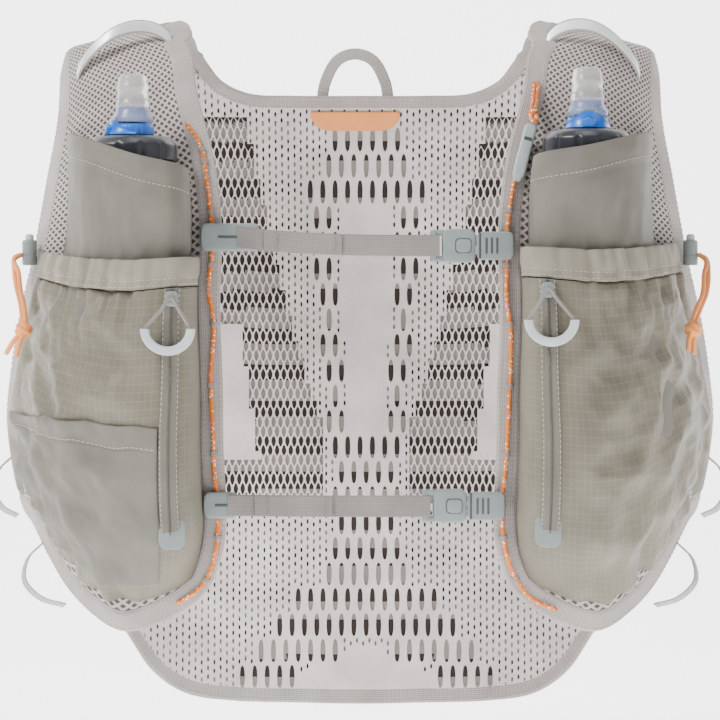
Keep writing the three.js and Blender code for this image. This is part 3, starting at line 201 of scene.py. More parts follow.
@dataclass(frozen=True)
class Torso:
    """The body that the vest is shaped to, in millimetres.

    Each level is a rounded section: x is the half width times the signed 2/n power of the sine of the
    angle round the body, and y the half depth times that of its cosine.

    Attributes:
        length: Drop from the shoulder tops to the hem.
        half_width: Half the width at the widest level.
        half_depth: Half the depth at the deepest level.
        roundness: The power n; 2 is an ellipse and more is squarer.
        rows: Levels as share of the length, share of the half width and share of the half depth.
    """

    length: float = 427.0
    half_width: float = 213.0
    half_depth: float = 115.0
    roundness: float = 2.35
    rows: tuple = (
        (0, 0.498, 0.052), (0.019, 0.66, 0.21), (0.049, 0.834, 0.391), (0.14, 0.866, 0.696),
        (0.234, 0.911, 0.852), (0.328, 0.948, 0.922), (0.457, 0.991, 0.974), (0.562, 1, 1),
        (0.679, 0.962, 1.009), (0.796, 0.892, 0.991), (0.89, 0.808, 0.974), (1.01, 0.7, 0.94),
    )

    def point(self, spot: Array) -> Array:
        """Places on the body for spots of angle in degrees and share of drop."""
        angle, drop = np.radians(spot[..., 0]), spot[..., 1]
        power = 2 / self.roundness
        x = self.half_width * track(self.rows, 1)(drop) * signed_power(np.sin(angle), power)
        y = -self.half_depth * track(self.rows, 2)(drop) * signed_power(np.cos(angle), power)
        return np.stack([x, y, -drop * self.length], -1)

    def slopes(self, spot: Array) -> tuple[Array, Array]:
        """How the surface runs for each degree and each share of drop."""
        turn, sink = np.array([0.5, 0.0]), np.array([0.0, 0.002])
        above = spot.copy()
        above[..., 1] = np.maximum(spot[..., 1] - sink[1], 0)
        below = spot + sink
        round_way = self.point(spot + turn) - self.point(spot - turn)
        down = (self.point(below) - self.point(above)) / (below - above)[..., 1:2]
        return round_way, down

    def outward(self, spot: Array) -> Array:
        """The surface's outward direction."""
        round_way, down = self.slopes(spot)
        return unit(np.cross(down, round_way))

    def lifted(self, spot: Array, lift: Array | float) -> Array:
        """Places that stand off the surface by a lift."""
        return self.point(spot) + self.outward(spot) * np.asarray(lift)[..., None]

    def step(self, spot: Array, way: Array, distance: Array | float) -> Array:
        """The spots a distance away along the surface."""
        r, d = self.slopes(spot)
        rr, rd, dd = (r * r).sum(-1), (r * d).sum(-1), (d * d).sum(-1)
        wr, wd = (way * r).sum(-1), (way * d).sum(-1)
        det = rr * dd - rd * rd
        move = np.stack([(wr * dd - wd * rd) / det, (wd * rr - wr * rd) / det], -1)
        return spot + move * np.asarray(distance)[..., None]

    def front(self, x: Array, z: Array) -> Array:
        """The spots on the front of the body at x and z."""
        x, z = np.broadcast_arrays(np.asarray(x, float), np.asarray(z, float))
        drop = -z / self.length
        share = np.minimum(np.abs(x) / (self.half_width * track(self.rows, 1)(drop)), 1)
        angle = np.degrees(np.arcsin(share ** (self.roundness / 2)))
        return np.stack([np.sign(x) * angle, drop], -1)

    def back(self, x: Array, z: Array) -> Array:
        """The spots on the back of the body at x and z."""
        spot = self.front(x, z)
        spot[..., 0] = 180 - spot[..., 0]
        return spot


TORSO = Torso()
RIDGE_SHIFT = 0.7  # front and back panels part at the shoulder ridge by twice this, in mm

FRONT_INNER = (
    (90, 0.0047), (51.4, 0.0187), (40.2, 0.035), (34.9, 0.063), (32.2, 0.119), (28.8, 0.173),
    (26.8, 0.204), (23.8, 0.286), (22.5, 0.403), (21.3, 0.539), (21.6, 0.646), (22, 0.703),
    (23.8, 0.749), (27.4, 0.787),
)
FRONT_BOTTOM = ((35.9, 0.817), (46.7, 0.831), (54.6, 0.808), (60.1, 0.78), (64.5, 0.742), (70.5, 0.693))
FRONT_OUTER = (
    (82, 0.66), (81, 0.576), (76.5, 0.527), (71, 0.445), (68, 0.328), (68.5, 0.234), (72, 0.14),
    (79, 0.075), (90, 0.041),
)
BACK_OUTER = (
    (90, 0.041), (106, 0.105), (119, 0.187), (129.5, 0.304), (130.5, 0.422), (125, 0.527),
    (121, 0.576), (121, 0.68), (123.5, 0.785), (127, 0.85),
)
BACK_BOTTOM = ((129, 0.885), (132.5, 0.93), (140, 0.96), (152.4, 0.973), (169, 0.978), (180, 0.98))
NECKLINE = (
    (90, 0.0047), (129.7, 0.0187), (145.5, 0.043), (153.7, 0.09), (161, 0.109), (170, 0.1115),
    (180, 0.1115),
)
ARMHOLE_FLOOR = ((81, 0.576), (90, 0.596), (101, 0.603), (112, 0.596), (121, 0.576))


def mirrored(rows: Sequence[tuple]) -> list[tuple]:
    """The table's rows on the other side of the back, in reverse order."""
    return [(360 - angle, drop) for angle, drop in reversed(rows)]


class Seam:
    """A smooth line over the body, walked by its true length."""

    def __init__(self, rows: Sequence[tuple]) -> None:
        """Lay the line through a table of angle and drop."""
        flat = np.array([[angle * 2, drop * TORSO.length] for angle, drop in rows])
        steps = 40 * len(rows)
        line = smooth_line(flat, steps)
        self.spots = np.stack([line[:, 0] / 2, line[:, 1] / TORSO.length], 1)
        self.lengths = run_along(TORSO.point(self.spots))
        self.total = float(self.lengths[-1])
        picks = np.round(np.arange(len(rows)) * steps / (len(rows) - 1)).astype(int)
        self.marks = self.lengths[picks] / self.total

    def at(self, share: Array) -> Array:
        """The spots at shares of the line's length."""
        goal = np.clip(share, 0, 1) * self.total
        return np.stack([np.interp(goal, self.lengths, self.spots[:, k]) for k in (0, 1)], -1)


Line = Callable[[Array], Array]


def patch(left: Line, right: Line, top: Line, bottom: Line) -> Callable[[Array, Array], Array]:
    """A patch between four seam lines.

    Formula: a straight blend of the left and right lines, plus the bows of the top and bottom lines,
    which fade away from their own ends as the cube of the distance.

    Returns:
        A function of the shares across and down that gives spots.
    """

    def at(u: Array, v: Array) -> Array:
        """The patch's spots."""
        u, v = np.broadcast_arrays(np.asarray(u, float), np.asarray(v, float))
        w = u[..., None]

        def bow(line: Line) -> Array:
            """How far a line strays from the straight one between its ends."""
            ends = line(np.array([0.0, 1.0]))
            return line(u) - (ends[0] * (1 - w) + ends[1] * w)

        fade = v[..., None]
        sides = left(v) * (1 - w) + right(v) * w
        return sides + bow(top) * (1 - fade) ** 3 + bow(bottom) * fade**3

    return at


FRONT_SEAM = Seam(FRONT_INNER + FRONT_BOTTOM + FRONT_OUTER)
BACK_SEAM = Seam([*BACK_OUTER, *BACK_BOTTOM, *mirrored(BACK_OUTER + BACK_BOTTOM[:-1])])
NECK_SEAM = Seam([*NECKLINE, *mirrored(NECKLINE[:-1])])
SIDE_SEAM = Seam(ARMHOLE_FLOOR)
INNER_CORNER = FRONT_SEAM.marks[len(FRONT_INNER) - 1]
OUTER_CORNER = FRONT_SEAM.marks[len(FRONT_INNER) + len(FRONT_BOTTOM)]
ARMHOLE_FOOT = FRONT_SEAM.marks[len(FRONT_INNER) + len(FRONT_BOTTOM) + 1]
BACK_CORNER = BACK_SEAM.marks[len(BACK_OUTER)]
SIDE_TOP = BACK_SEAM.marks[6]
SIDE_FOOT = BACK_SEAM.marks[7]
RIDGE_SHARE = 0.14


def ridge(share: Array) -> Array:
    """Spots along the shoulder ridge from its armhole end to its neck end."""
    share = np.asarray(share, float)
    return np.stack([np.full(share.shape, 90.0), 0.041 + (0.0047 - 0.041) * share], -1)


def back_top(u: Array) -> Array:
    """The back panel's top line: a ridge, the neckline and the other ridge."""
    far = ridge(np.clip((1 - u) / RIDGE_SHARE, 0, 1))
    far[..., 0] = 270
    near = ridge(np.clip(u / RIDGE_SHARE, 0, 1))
    neck = NECK_SEAM.at((u - RIDGE_SHARE) / (1 - 2 * RIDGE_SHARE))
    u = u[..., None]
    return np.where(u < RIDGE_SHARE, near, np.where(u > 1 - RIDGE_SHARE, far, neck))


back_patch = patch(
    lambda v: BACK_SEAM.at(v * BACK_CORNER),
    lambda v: BACK_SEAM.at(1 - v * BACK_CORNER),
    back_top,
    lambda u: BACK_SEAM.at(BACK_CORNER + (1 - 2 * BACK_CORNER) * u),
)
front_patch = patch(
    lambda v: FRONT_SEAM.at(v * INNER_CORNER),
    lambda v: FRONT_SEAM.at(1 + (OUTER_CORNER - 1) * v),
    lambda u: ridge(1 - u),
    lambda u: FRONT_SEAM.at(INNER_CORNER + (OUTER_CORNER - INNER_CORNER) * u),
)
side_patch = patch(
    lambda v: FRONT_SEAM.at(ARMHOLE_FOOT + (OUTER_CORNER - ARMHOLE_FOOT) * v),
    lambda v: BACK_SEAM.at(SIDE_TOP + (SIDE_FOOT - SIDE_TOP) * v),
    SIDE_SEAM.at,
    lambda u: FRONT_SEAM.at(np.full_like(u, OUTER_CORNER)) * (1 - u[..., None])
    + BACK_SEAM.at(np.full_like(u, SIDE_FOOT)) * u[..., None],
)


def on_side(side: Side, spot: Array) -> Array:
    """Spots turned to one side of the body."""
    return spot * np.array([side.value, 1.0])


# ---------------------------------------------------------------- shapes


@dataclass
class Shape:
    """Vertices in millimetres, quads or polygons, and a UV place in millimetres for each vertex."""

    verts: Array
    faces: list
    uv: Array

    @staticmethod
    def joined(*shapes: "Shape") -> "Shape":
        """Several shapes as one."""
        faces, start = [], 0
        for shape in shapes:
            faces.extend((np.asarray(f) + start) for f in shape.faces)
            start += len(shape.verts)
        return Shape(np.vstack([s.verts for s in shapes]), faces, np.vstack([s.uv for s in shapes]))

    def moved(self, x: float = 0, y: float = 0, z: float = 0) -> "Shape":
        """The shape shifted by millimetres."""
        return Shape(self.verts + np.array([x, y, z]), self.faces, self.uv)

    def turned(self, axis: int, degrees: float) -> "Shape":
        """The shape turned about one axis of the row."""
        a, b = [(1, 2), (2, 0), (0, 1)][axis]
        c, s = math.cos(math.radians(degrees)), math.sin(math.radians(degrees))
        verts = self.verts.copy()
        verts[:, a] = self.verts[:, a] * c - self.verts[:, b] * s
        verts[:, b] = self.verts[:, a] * s + self.verts[:, b] * c
        return Shape(verts, self.faces, self.uv)


def grid_faces(rows: int, columns: int, wrap_rows: bool, wrap_columns: bool) -> Array:
    """Quads between the points of a grid."""
    j = np.arange(rows if wrap_rows else rows - 1)[:, None]
    i = np.arange(columns if wrap_columns else columns - 1)[None]
    k, n = (j + 1) % rows, (i + 1) % columns
    quads = np.stack([j * columns + i, k * columns + i, k * columns + n, j * columns + n], -1)
    return quads.reshape(-1, 4)


def surface(
    grid: Array, wrap_rows: bool = False, wrap_columns: bool = False, uv: Optional[Array] = None,
    capped: bool = False,
) -> Shape:
    """A surface over a grid of points, with UV places that follow its lengths.

    Args:
        grid: Points, rows by columns.
        wrap_rows: Whether the last row meets the first.
        wrap_columns: Whether the last column meets the first.
        uv: Places for the pattern, or nothing to measure them along the middle row and column.
        capped: Whether one face closes the first row and one the last.

    Returns:
        The shape.
    """
    rows, columns = grid.shape[:2]
    if uv is None:
        u, v = run_along(grid[rows // 2]), run_along(grid[:, columns // 2])
        uv = np.stack(np.broadcast_arrays(u[None], v[:, None]), -1)
    faces = list(grid_faces(rows, columns, wrap_rows, wrap_columns))
    if capped:
        ends = np.arange(columns)
        faces += [ends[::-1], (rows - 1) * columns + ends]
    return Shape(grid.reshape(-1, 3), faces, uv.reshape(-1, 2))


def tube(path: Array, radius: Array | float, sides: int, upright: Array, ring: bool = False) -> Shape:
    """A round tube along a path, with rounded ends.

    Formula: each section is a circle in the plane across the path; near an end its radius falls as a
    quarter circle does.

    Args:
        path: Centre points in millimetres.
        radius: One radius or one for each point.
        sides: Points round a section.
        upright: A direction off the path, or one for each point.
        ring: Whether the path closes on itself.
    """
    radius = np.broadcast_to(np.asarray(radius, float), (len(path),)).copy()
    if not ring:
        cap = np.array([0.02, 0.5, 0.85])
        reach = np.sqrt(1 - cap**2)
        start, end = unit(path[0] - path[1]), unit(path[-1] - path[-2])
        head = path[0] + start * (radius[0] * 0.6 * reach)[:, None]
        tail = path[-1] + end * (radius[-1] * 0.6 * reach[::-1])[:, None]
        upright = np.broadcast_to(upright, path.shape)
        upright = np.vstack([np.repeat(upright[:1], 3, 0), upright, np.repeat(upright[-1:], 3, 0)])
        path = np.vstack([head, path, tail])
        radius = np.concatenate([radius[0] * cap, radius, radius[-1] * cap[::-1]])
    run = heading(path, ring)
    a = unit(np.broadcast_to(upright, path.shape) - (upright * run).sum(-1, keepdims=True) * run)
    b = np.cross(run, a)
    turn = np.linspace(0, 2 * np.pi, sides, endpoint=False)
    circle = np.cos(turn)[None, :, None] * a[:, None] + np.sin(turn)[None, :, None] * b[:, None]
    grid = path[:, None] + circle * radius[:, None, None]
    girth = turn * float(radius.max())
    uv = np.stack(np.broadcast_arrays(girth[None], run_along(path)[:, None]), -1)
    return surface(grid, ring, True, uv, not ring)


def strap(centre: Array, across: Array, width: Array | float, thick: float, ring: bool = False) -> Shape:
    """A flat strap along a path with rounded edges.

    Formula: the section is a superellipse, nearly a rectangle.

    Args:
        centre: The path's points.
        across: The direction of the width at each point.
        width: The width, or one for each point.
        thick: The thickness.
        ring: Whether the path closes.
    """
    across = unit(np.broadcast_to(across, centre.shape))
    normal = unit(np.cross(heading(centre, ring), across))
    turn = np.linspace(0, 2 * np.pi, 22, endpoint=False) + 0.07
    c, s = np.cos(turn), np.sin(turn)
    half = np.broadcast_to(np.asarray(width, float) / 2, (len(centre),))
    wide = signed_power(c, 0.35)
    high = signed_power(s, 0.6) * thick / 2
    grid = (
        centre[:, None] + across[:, None] * wide[None, :, None] * half[:, None, None]
        + normal[:, None] * high[None, :, None]
    )
    uv = np.stack(np.broadcast_arrays(wide[None] * half[:, None], run_along(centre)[:, None]), -1)
    return surface(grid, ring, True, uv, not ring)


def edge_way(spots: Array, turn: int, ring: bool = False) -> Array:
    """Directions over the body that leave a line of spots squarely; turn says to which side."""
    return unit(np.cross(heading(TORSO.point(spots), ring), TORSO.outward(spots))) * turn


def band(
    spots: Array, width: float, turn: int, thick: float, start: float = -2.2, ring: bool = False
) -> Shape:
    """A knitted binding tape that wraps the edge of a panel.

    Formula: each section is a flattened superellipse laid over the body, from a little inside the
    panel's edge to the tape's own width from it.

    Args:
        spots: The edge line on the body.
        width: How far the tape reaches beyond the edge.
        turn: Which side of the line it lies on, 1 or -1.
        thick: Thickness in millimetres.
        start: Where it starts; below zero it covers the panel's edge.
        ring: Whether the line closes.
    """
    around = 21
    angle = np.linspace(0, 2 * np.pi, around, endpoint=False) + 0.1
    across = (start + width) / 2 + (width - start) / 2 * signed_power(np.cos(angle), 0.45)
    high = thick / 2 * signed_power(np.sin(angle), 0.7)
    spot = np.repeat(spots[:, None], around, 1)
    ways = np.repeat(edge_way(spots, turn, ring)[:, None], around, 1)
    far, high = (np.broadcast_to(v, (len(spots), around)) for v in (across, high))
    grid = TORSO.lifted(TORSO.step(spot, ways, far), high)
    uv = np.stack(np.broadcast_arrays(across[None], run_along(TORSO.point(spots))[:, None]), -1)
    return surface(grid, ring, True, uv, not ring)


def lathe(profile: Sequence[tuple], segments: int, ribs: int = 0, rib_depth: float = 0.0) -> Shape:
    """A turned piece about Z, its grip ribbed where asked.

    Formula: radius times the cosine and sine of the turn; ribs take a rounded cosine off the radius.

    Args:
        profile: Radius, height and, where it has ribs, the share of their depth, from the foot up.
        segments: Steps round the piece.
        ribs: Number of grooves.
        rib_depth: Depth of a groove.
    """
    rows = np.array(profile, float)
    turn = np.linspace(0, 2 * np.pi, segments, endpoint=False)
    groove = rib_depth * (0.5 - 0.5 * np.cos(ribs * turn)) ** 9
    mark = rows[:, 2] if rows.shape[1] > 2 else np.zeros(len(rows))
    radius = rows[:, 0][:, None] - groove[None] * mark[:, None]
    height = np.broadcast_to(rows[:, 1][:, None], radius.shape)
    grid = np.stack([radius * np.cos(turn), radius * np.sin(turn), height], -1)
    shape = surface(grid, wrap_columns=True)
    shape.faces = [f[::-1] for f in shape.faces]
    for j, flip in ((0, 1), (len(rows) - 1, -1)):
        if rows[j, 0] > 1e-6:
            shape.faces.append((j * segments + np.arange(segments))[::-flip])
    return shape


def outline(width: float, height: float, corner: float, steps: int = 6) -> Array:
    """A rounded rectangle's outline about the centre."""
    corner = max(min(corner, width / 2 - 0.01, height / 2 - 0.01), 0.05)
    turn = np.linspace(0, np.pi / 2, steps)
    quarter = np.stack([np.cos(turn), np.sin(turn)], 1) * corner
    w, h = width / 2 - corner, height / 2 - corner
    parts = []
    for k, (sx, sy) in enumerate(((1, 1), (-1, 1), (-1, -1), (1, -1))):
        c, s = math.cos(k * math.pi / 2), math.sin(k * math.pi / 2)
        spun = quarter @ np.array([[c, s], [-s, c]])
        parts.append(spun + np.array([sx * w, sy * h]))
    return np.vstack(parts)


def slab(
    width: float, height: float, thick: float, corner: float, edge: float = 0.9, dome: float = 0.0
) -> Shape:
    """A moulded plate in the x-z plane, its front at -Y, its edges rolled over.

    Formula: the outline shrinks towards each face as a quarter circle; the front face crowns by dome.

    Args:
        width: Size along x.
        height: Size along z.
        thick: Size along y.
        corner: Radius of the outline's corners.
        edge: Radius of the rolled edges.
        dome: How far the front face swells.
    """
    turn = np.linspace(0, np.pi / 2, 5)
    steps = list(zip(edge * (1 - np.sin(turn)), edge * (1 - np.cos(turn))))
    layers = [(i, -thick / 2 + d) for i, d in steps] + [(i, thick / 2 - d) for i, d in reversed(steps)]
    rings = []
    for shrink in (0.25, 0.6, 0.85):
        flat = outline(width - 2 * edge, height - 2 * edge, corner - edge) * shrink
        rings.append((flat, -thick / 2 - dome * (1 - shrink**2)))
    for i, d in layers:
        rings.append((outline(width - 2 * i, height - 2 * i, corner - i), d))
    grid = np.stack([np.stack([f[:, 0], np.full(len(f), y), f[:, 1]], 1) for f, y in rings])
    shape = surface(grid, wrap_columns=True, capped=True)
    shape.faces = [f[::-1] for f in shape.faces]
    return shape


def ball(centre: Array, radii: Sequence[float], lumps: float = 0.0, seed: float = 0.0) -> Shape:
    """A rounded lump, such as a knot; lumps gives its surface the turns of a knotted cord."""
    v = np.linspace(0.02, np.pi - 0.02, 15)[:, None]
    u = np.linspace(0, 2 * np.pi, 22, endpoint=False)[None]
    swell = 1 + lumps * np.sin(3 * u + 2.4 * np.cos(v) * 3 + seed)
    grid = np.stack(
        [
            radii[0] * swell * np.sin(v) * np.cos(u),
            radii[1] * swell * np.sin(v) * np.sin(u),
            radii[2] * swell * np.cos(v) * np.ones_like(u),
        ],
        -1,
    ) + np.asarray(centre)
    return surface(grid, wrap_columns=True, capped=True)


# ---------------------------------------------------------------- materials


def linear(hex_value: str, alpha: float = 1.0) -> tuple[float, float, float, float]:
    """An sRGB hex colour as linear values."""
    parts = [int(hex_value[i : i + 2], 16) / 255 for i in (1, 3, 5)]
    lin = [p / 12.92 if p <= 0.04045 else ((p + 0.055) / 1.055) ** 2.4 for p in parts]
    return (*lin, alpha)


def add_node(
    tree: bpy.types.NodeTree, kind: str, links: Optional[dict] = None, **settings: object
) -> bpy.types.Node:
    """Add a shader node.

    Args:
        tree: The material's nodes.
        kind: The node type without its ShaderNode prefix.
        links: Input name or index to the output socket that feeds it.
        **settings: Node properties, or input values by name or as in_0, in_1 and so on.

    Returns:
        The node.
    """
    node = tree.nodes.new("ShaderNode" + kind)
    for key, value in settings.items():
        if key.startswith("in_"):
            node.inputs[int(key[3:])].default_value = value
        elif key in node.inputs:
            node.inputs[key].default_value = value
        else:
            setattr(node, key, value)
    for key, socket in (links or {}).items():
        tree.links.new(socket, node.inputs[key])
    return node


def blank(name: str) -> tuple[bpy.types.Material, bpy.types.NodeTree, bpy.types.Node]:
    """A new material, its node tree and its shader."""
    material = bpy.data.materials.new(name)
    material.use_nodes = True
    return material, material.node_tree, material.node_tree.nodes["Principled BSDF"]


class Weave(Enum):
    """The patterns that a cloth or cord can carry, all in UV millimetres."""

    RIB = "rib"
    MESH = "mesh"
    RIPSTOP = "ripstop"
    TWILL = "twill"
    BRAID = "braid"
    WEBBING = "webbing"
    KNIT = "knit"


@dataclass(frozen=True)
class Cloth:
    """A woven or knitted finish.

    Attributes:
        name: The material and how it was made.
        light: Colour of the raised threads.
        dark: Colour between them.
        weave: The pattern.
        pitch: Thread spacing across and along, in millimetres.
        roughness: Surface roughness.
        bump: Strength of the relief.
        sheen: Fuzz at grazing light.
        fleck: Colour of tracer threads, where a cord has them.
    """

    name: str
    light: str
    dark: str
    weave: Weave
    pitch: tuple[float, float]
    roughness: float = 0.85
    bump: float = 0.35
    sheen: float = 0.04
    fleck: Optional[str] = None

    def pattern(self, tree: bpy.types.NodeTree, u: Socket, v: Socket) -> Socket:
        """The pattern's height, from 0 between threads to 1 on them."""
        px, pz = self.pitch

        def wave(source: Socket, factor: float, power: float = 1.0) -> Socket:
            """The size of a sine, raised to a power."""
            angle = add_node(tree, "Math", {0: source}, operation="MULTIPLY", in_1=factor)
            sine = add_node(tree, "Math", {0: angle.outputs[0]}, operation="SINE")
            size = add_node(tree, "Math", {0: sine.outputs[0]}, operation="ABSOLUTE")
            lifted = add_node(tree, "Math", {0: size.outputs[0]}, operation="POWER", in_1=power)
            return lifted.outputs[0]

        def mixed(operation: str, a: Socket, b: Socket) -> Socket:
            """Two values joined."""
            return add_node(tree, "Math", {0: a, 1: b}, operation=operation).outputs[0]

        def skew(slope: float) -> Socket:
            """A value that runs diagonally over the cloth."""
            part = add_node(tree, "Math", {0: v}, operation="MULTIPLY", in_1=slope)
            return mixed("ADD", u, part.outputs[0])

        def strands(a: Socket, b: Socket, core: float, edge: float) -> Socket:
            """1 where either wave is below core, falling to 0 at edge."""
            return add_node(
                tree, "MapRange", {0: mixed("MINIMUM", a, b)}, in_1=core, in_2=edge, in_3=1.0, in_4=0.0,
                interpolation_type="SMOOTHSTEP",
            ).outputs[0]

        slope, turn = px / pz, np.pi / px

        if self.weave is Weave.RIB:
            return mixed("MAXIMUM", wave(u, turn, 0.6), wave(v, np.pi / pz, 4.0))
        if self.weave is Weave.MESH:
            return strands(wave(skew(slope), turn / 2), wave(skew(-slope), turn / 2), 0.42, 0.72)
        if self.weave is Weave.RIPSTOP:
            return strands(wave(u, turn), wave(v, np.pi / pz), 0.05, 0.14)
        if self.weave is Weave.TWILL:
            return wave(skew(0.8), turn, 0.7)
        if self.weave is Weave.BRAID:
            return mixed("MAXIMUM", wave(skew(slope), turn, 0.8), wave(skew(-slope), turn, 0.8))
        if self.weave is Weave.WEBBING:
            return mixed("MULTIPLY", wave(u, turn, 0.5), wave(v, np.pi / pz, 0.35))
        return mixed("MULTIPLY", wave(skew(0.55), turn, 0.5), wave(skew(-0.55), turn, 0.5))

    def material(self) -> bpy.types.Material:
        """Build the material."""
        material, tree, shader = blank(self.name)
        uv = add_node(tree, "UVMap", uv_map="cloth")
        parts = add_node(tree, "SeparateXYZ", {0: uv.outputs[0]})
        height = self.pattern(tree, parts.outputs[0], parts.outputs[1])
        place = add_node(tree, "TexCoord")
        spot = {"Vector": place.outputs["Object"]}
        cloud = add_node(tree, "TexNoise", spot, Scale=38.0, Detail=4.0)
        fuzz = add_node(tree, "TexNoise", spot, Scale=1900.0, Detail=2.0)
        tone = add_node(tree, "Mix", {0: height}, data_type="RGBA")
        tone.inputs[6].default_value = linear(self.dark)
        tone.inputs[7].default_value = linear(self.light)
        colour = tone.outputs[2]
        if self.fleck:
            # White tracer threads show as short flecks along the braid.
            speck = add_node(
                tree, "TexVoronoi", {"Vector": uv.outputs[0]}, Scale=0.52, feature="F1",
                distance="CHEBYCHEV",
            )
            mask = add_node(tree, "Math", {0: speck.outputs["Distance"]}, operation="LESS_THAN", in_1=0.24)
            fleck = add_node(tree, "Mix", {0: mask.outputs[0], 6: colour}, data_type="RGBA")
            fleck.inputs[7].default_value = linear(self.fleck)
            colour = fleck.outputs[2]
        shade = add_node(tree, "MapRange", {0: cloud.outputs[0]}, in_1=0.3, in_2=0.7, in_3=0.86, in_4=1.1)
        worn = add_node(tree, "HueSaturation", {"Color": colour, "Value": shade.outputs[0]})
        tree.links.new(worn.outputs[0], shader.inputs["Base Color"])
        both = add_node(tree, "Math", {0: fuzz.outputs[0]}, operation="MULTIPLY", in_1=0.25)
        relief = add_node(tree, "Math", {0: height, 1: both.outputs[0]}, operation="ADD")
        bump = add_node(tree, "Bump", {"Height": relief.outputs[0]}, Strength=self.bump, Distance=0.0004)
        tree.links.new(bump.outputs[0], shader.inputs["Normal"])
        shader.inputs["Roughness"].default_value = self.roughness
        shader.inputs["Sheen Weight"].default_value = self.sheen
        shader.inputs["Sheen Roughness"].default_value = 0.5
        shader.inputs["Specular IOR Level"].default_value = 0.25
        return material


@dataclass(frozen=True)
class Moulded:
    """A moulded or cast finish.

    Attributes:
        name: The material and how it was made.
        colour: Its colour.
        roughness: Mean roughness.
        grain: Size of the mould's texture in millimetres.
        bump: Strength of the texture.
        see_through: Share of light that passes.
        ior: Index of refraction.
        metallic: Share of metal.
        coat: Share of clear gloss on top.
    """

    name: str
    colour: str
    roughness: float = 0.45
    grain: float = 0.5
    bump: float = 0.1
    see_through: float = 0.0
    ior: float = 1.48
    metallic: float = 0.0
    coat: float = 0.0

    def material(self) -> bpy.types.Material:
        """Build the material."""
        material, tree, shader = blank(self.name)
        place = add_node(tree, "TexCoord")
        spot = {"Vector": place.outputs["Object"]}
        grain = add_node(tree, "TexNoise", spot, Scale=1000 / self.grain, Detail=3.0)
        cloud = add_node(tree, "TexNoise", spot, Scale=60.0, Detail=3.0)
        rough = add_node(
            tree, "MapRange", {0: cloud.outputs[0]}, in_1=0.3, in_2=0.7,
            in_3=self.roughness - 0.07, in_4=self.roughness + 0.09,
        )
        tree.links.new(rough.outputs[0], shader.inputs["Roughness"])
        shade = add_node(tree, "MapRange", {0: cloud.outputs[0]}, in_1=0.3, in_2=0.7, in_3=0.94, in_4=1.05)
        tone = add_node(tree, "HueSaturation", {"Value": shade.outputs[0]}, Color=linear(self.colour))
        tree.links.new(tone.outputs[0], shader.inputs["Base Color"])
        bump = add_node(tree, "Bump", {"Height": grain.outputs[0]}, Strength=self.bump, Distance=0.0002)
        tree.links.new(bump.outputs[0], shader.inputs["Normal"])
        shader.inputs["Transmission Weight"].default_value = self.see_through
        shader.inputs["IOR"].default_value = self.ior
        shader.inputs["Metallic"].default_value = self.metallic
        shader.inputs["Coat Weight"].default_value = self.coat
        return material


# Spacer knit in polyester: pale, matt ribs with a soft sheen.
KNIT = Cloth("polyester_spacer_knit", "#EAE3E0", "#BDB5B1", Weave.KNIT, (0.9, 0.9), 0.9, 0.5)
# The second layer, seen through the knit's openings: grey knit, with bands of near-black painted shade.
SHADE_LINER = Cloth("polyester_liner_knit", "#423936", "#29221F", Weave.KNIT, (1.1, 1.1), 0.95, 0.3, 0.05)
GREY_LINER = Cloth(
    "polyester_grey_liner_knit", "#A09893", "#77706B", Weave.KNIT, (1.1, 1.1), 0.95, 0.3, 0.05
)
# Knitted binding tape: fine ribs along its length.
BINDING = Cloth("knitted_binding_tape", "#ACA5A1", "#8A837F", Weave.RIB, (1.3, 2.6), 0.88, 0.6, 0.05)
# Open warp-knit mesh over the shoulders: pale strands over dark gaps, cells 3.1 by 2.3 mm.
MESH = Cloth("warp_knit_shoulder_mesh", "#B9B0AB", "#564E49", Weave.MESH, (3.1, 2.3), 0.9, 0.8, 0.1)
# Nylon turned over and sewn as a hem, paler than the pocket: a fine diagonal.
HEM = Cloth("turned_plain_woven_hem", "#8B8577", "#736E61", Weave.TWILL, (0.8, 0.8), 0.7, 0.25, 0.05)
# Stretch-woven nylon with elastane, piece dyed: matt, with a fine diagonal.
STRETCH = Cloth("stretch_woven_nylon", "#706C63", "#5B5851", Weave.TWILL, (0.8, 0.8), 0.7, 0.25, 0.05)
# Ripstop nylon: a pale grid of thicker threads, 4.1 by 4.7 mm, on a slightly glossy cloth.
RIPSTOP = Cloth("ripstop_nylon", "#7F796A", "#6B6658", Weave.RIPSTOP, (4.1, 4.7), 0.5, 0.35, 0.04)
# Braided polyester lace with white tracer threads.
LACE = Cloth(
    "braided_polyester_lace", "#E87810", "#A8440A", Weave.BRAID, (1.3, 1.6), 0.8, 0.7, 0.2, "#FFF4E2"
)
# Elastic drawcord: fine braid over rubber.
ELASTIC = Cloth("braided_elastic_cord", "#F29A55", "#D27834", Weave.BRAID, (1.0, 1.2), 0.8, 0.5, 0.2)
# Nylon webbing, plain woven.
WEBBING = Cloth("woven_nylon_webbing", "#918B87", "#65605D", Weave.WEBBING, (1.1, 0.9), 0.75, 0.5, 0.15)
# Spun polyester sewing thread, in the colours of the tapes, the pockets and the tacks.
THREAD = Cloth("polyester_sewing_thread", "#BFB8B3", "#958E89", Weave.BRAID, (0.5, 0.5), 0.7, 0.3, 0.1)
OLIVE_THREAD = Cloth("olive_sewing_thread", "#B9B3A4", "#8D8778", Weave.BRAID, (0.5, 0.5), 0.7, 0.3, 0.1)
DARK_THREAD = Cloth("grey_sewing_thread", "#9A9490", "#7E7875", Weave.BRAID, (0.5, 0.5), 0.7, 0.3, 0.1)
# Glass-bead reflective tape: bright, satin.
REFLECTIVE = Moulded("glass_bead_reflective_tape", "#E4E8E7", 0.38, 0.4, 0.25, metallic=0.35)
# Heat-bonded silicone film of the neck label.
LABEL = Moulded("bonded_silicone_film", "#EC9448", 0.5, 0.6, 0.1)
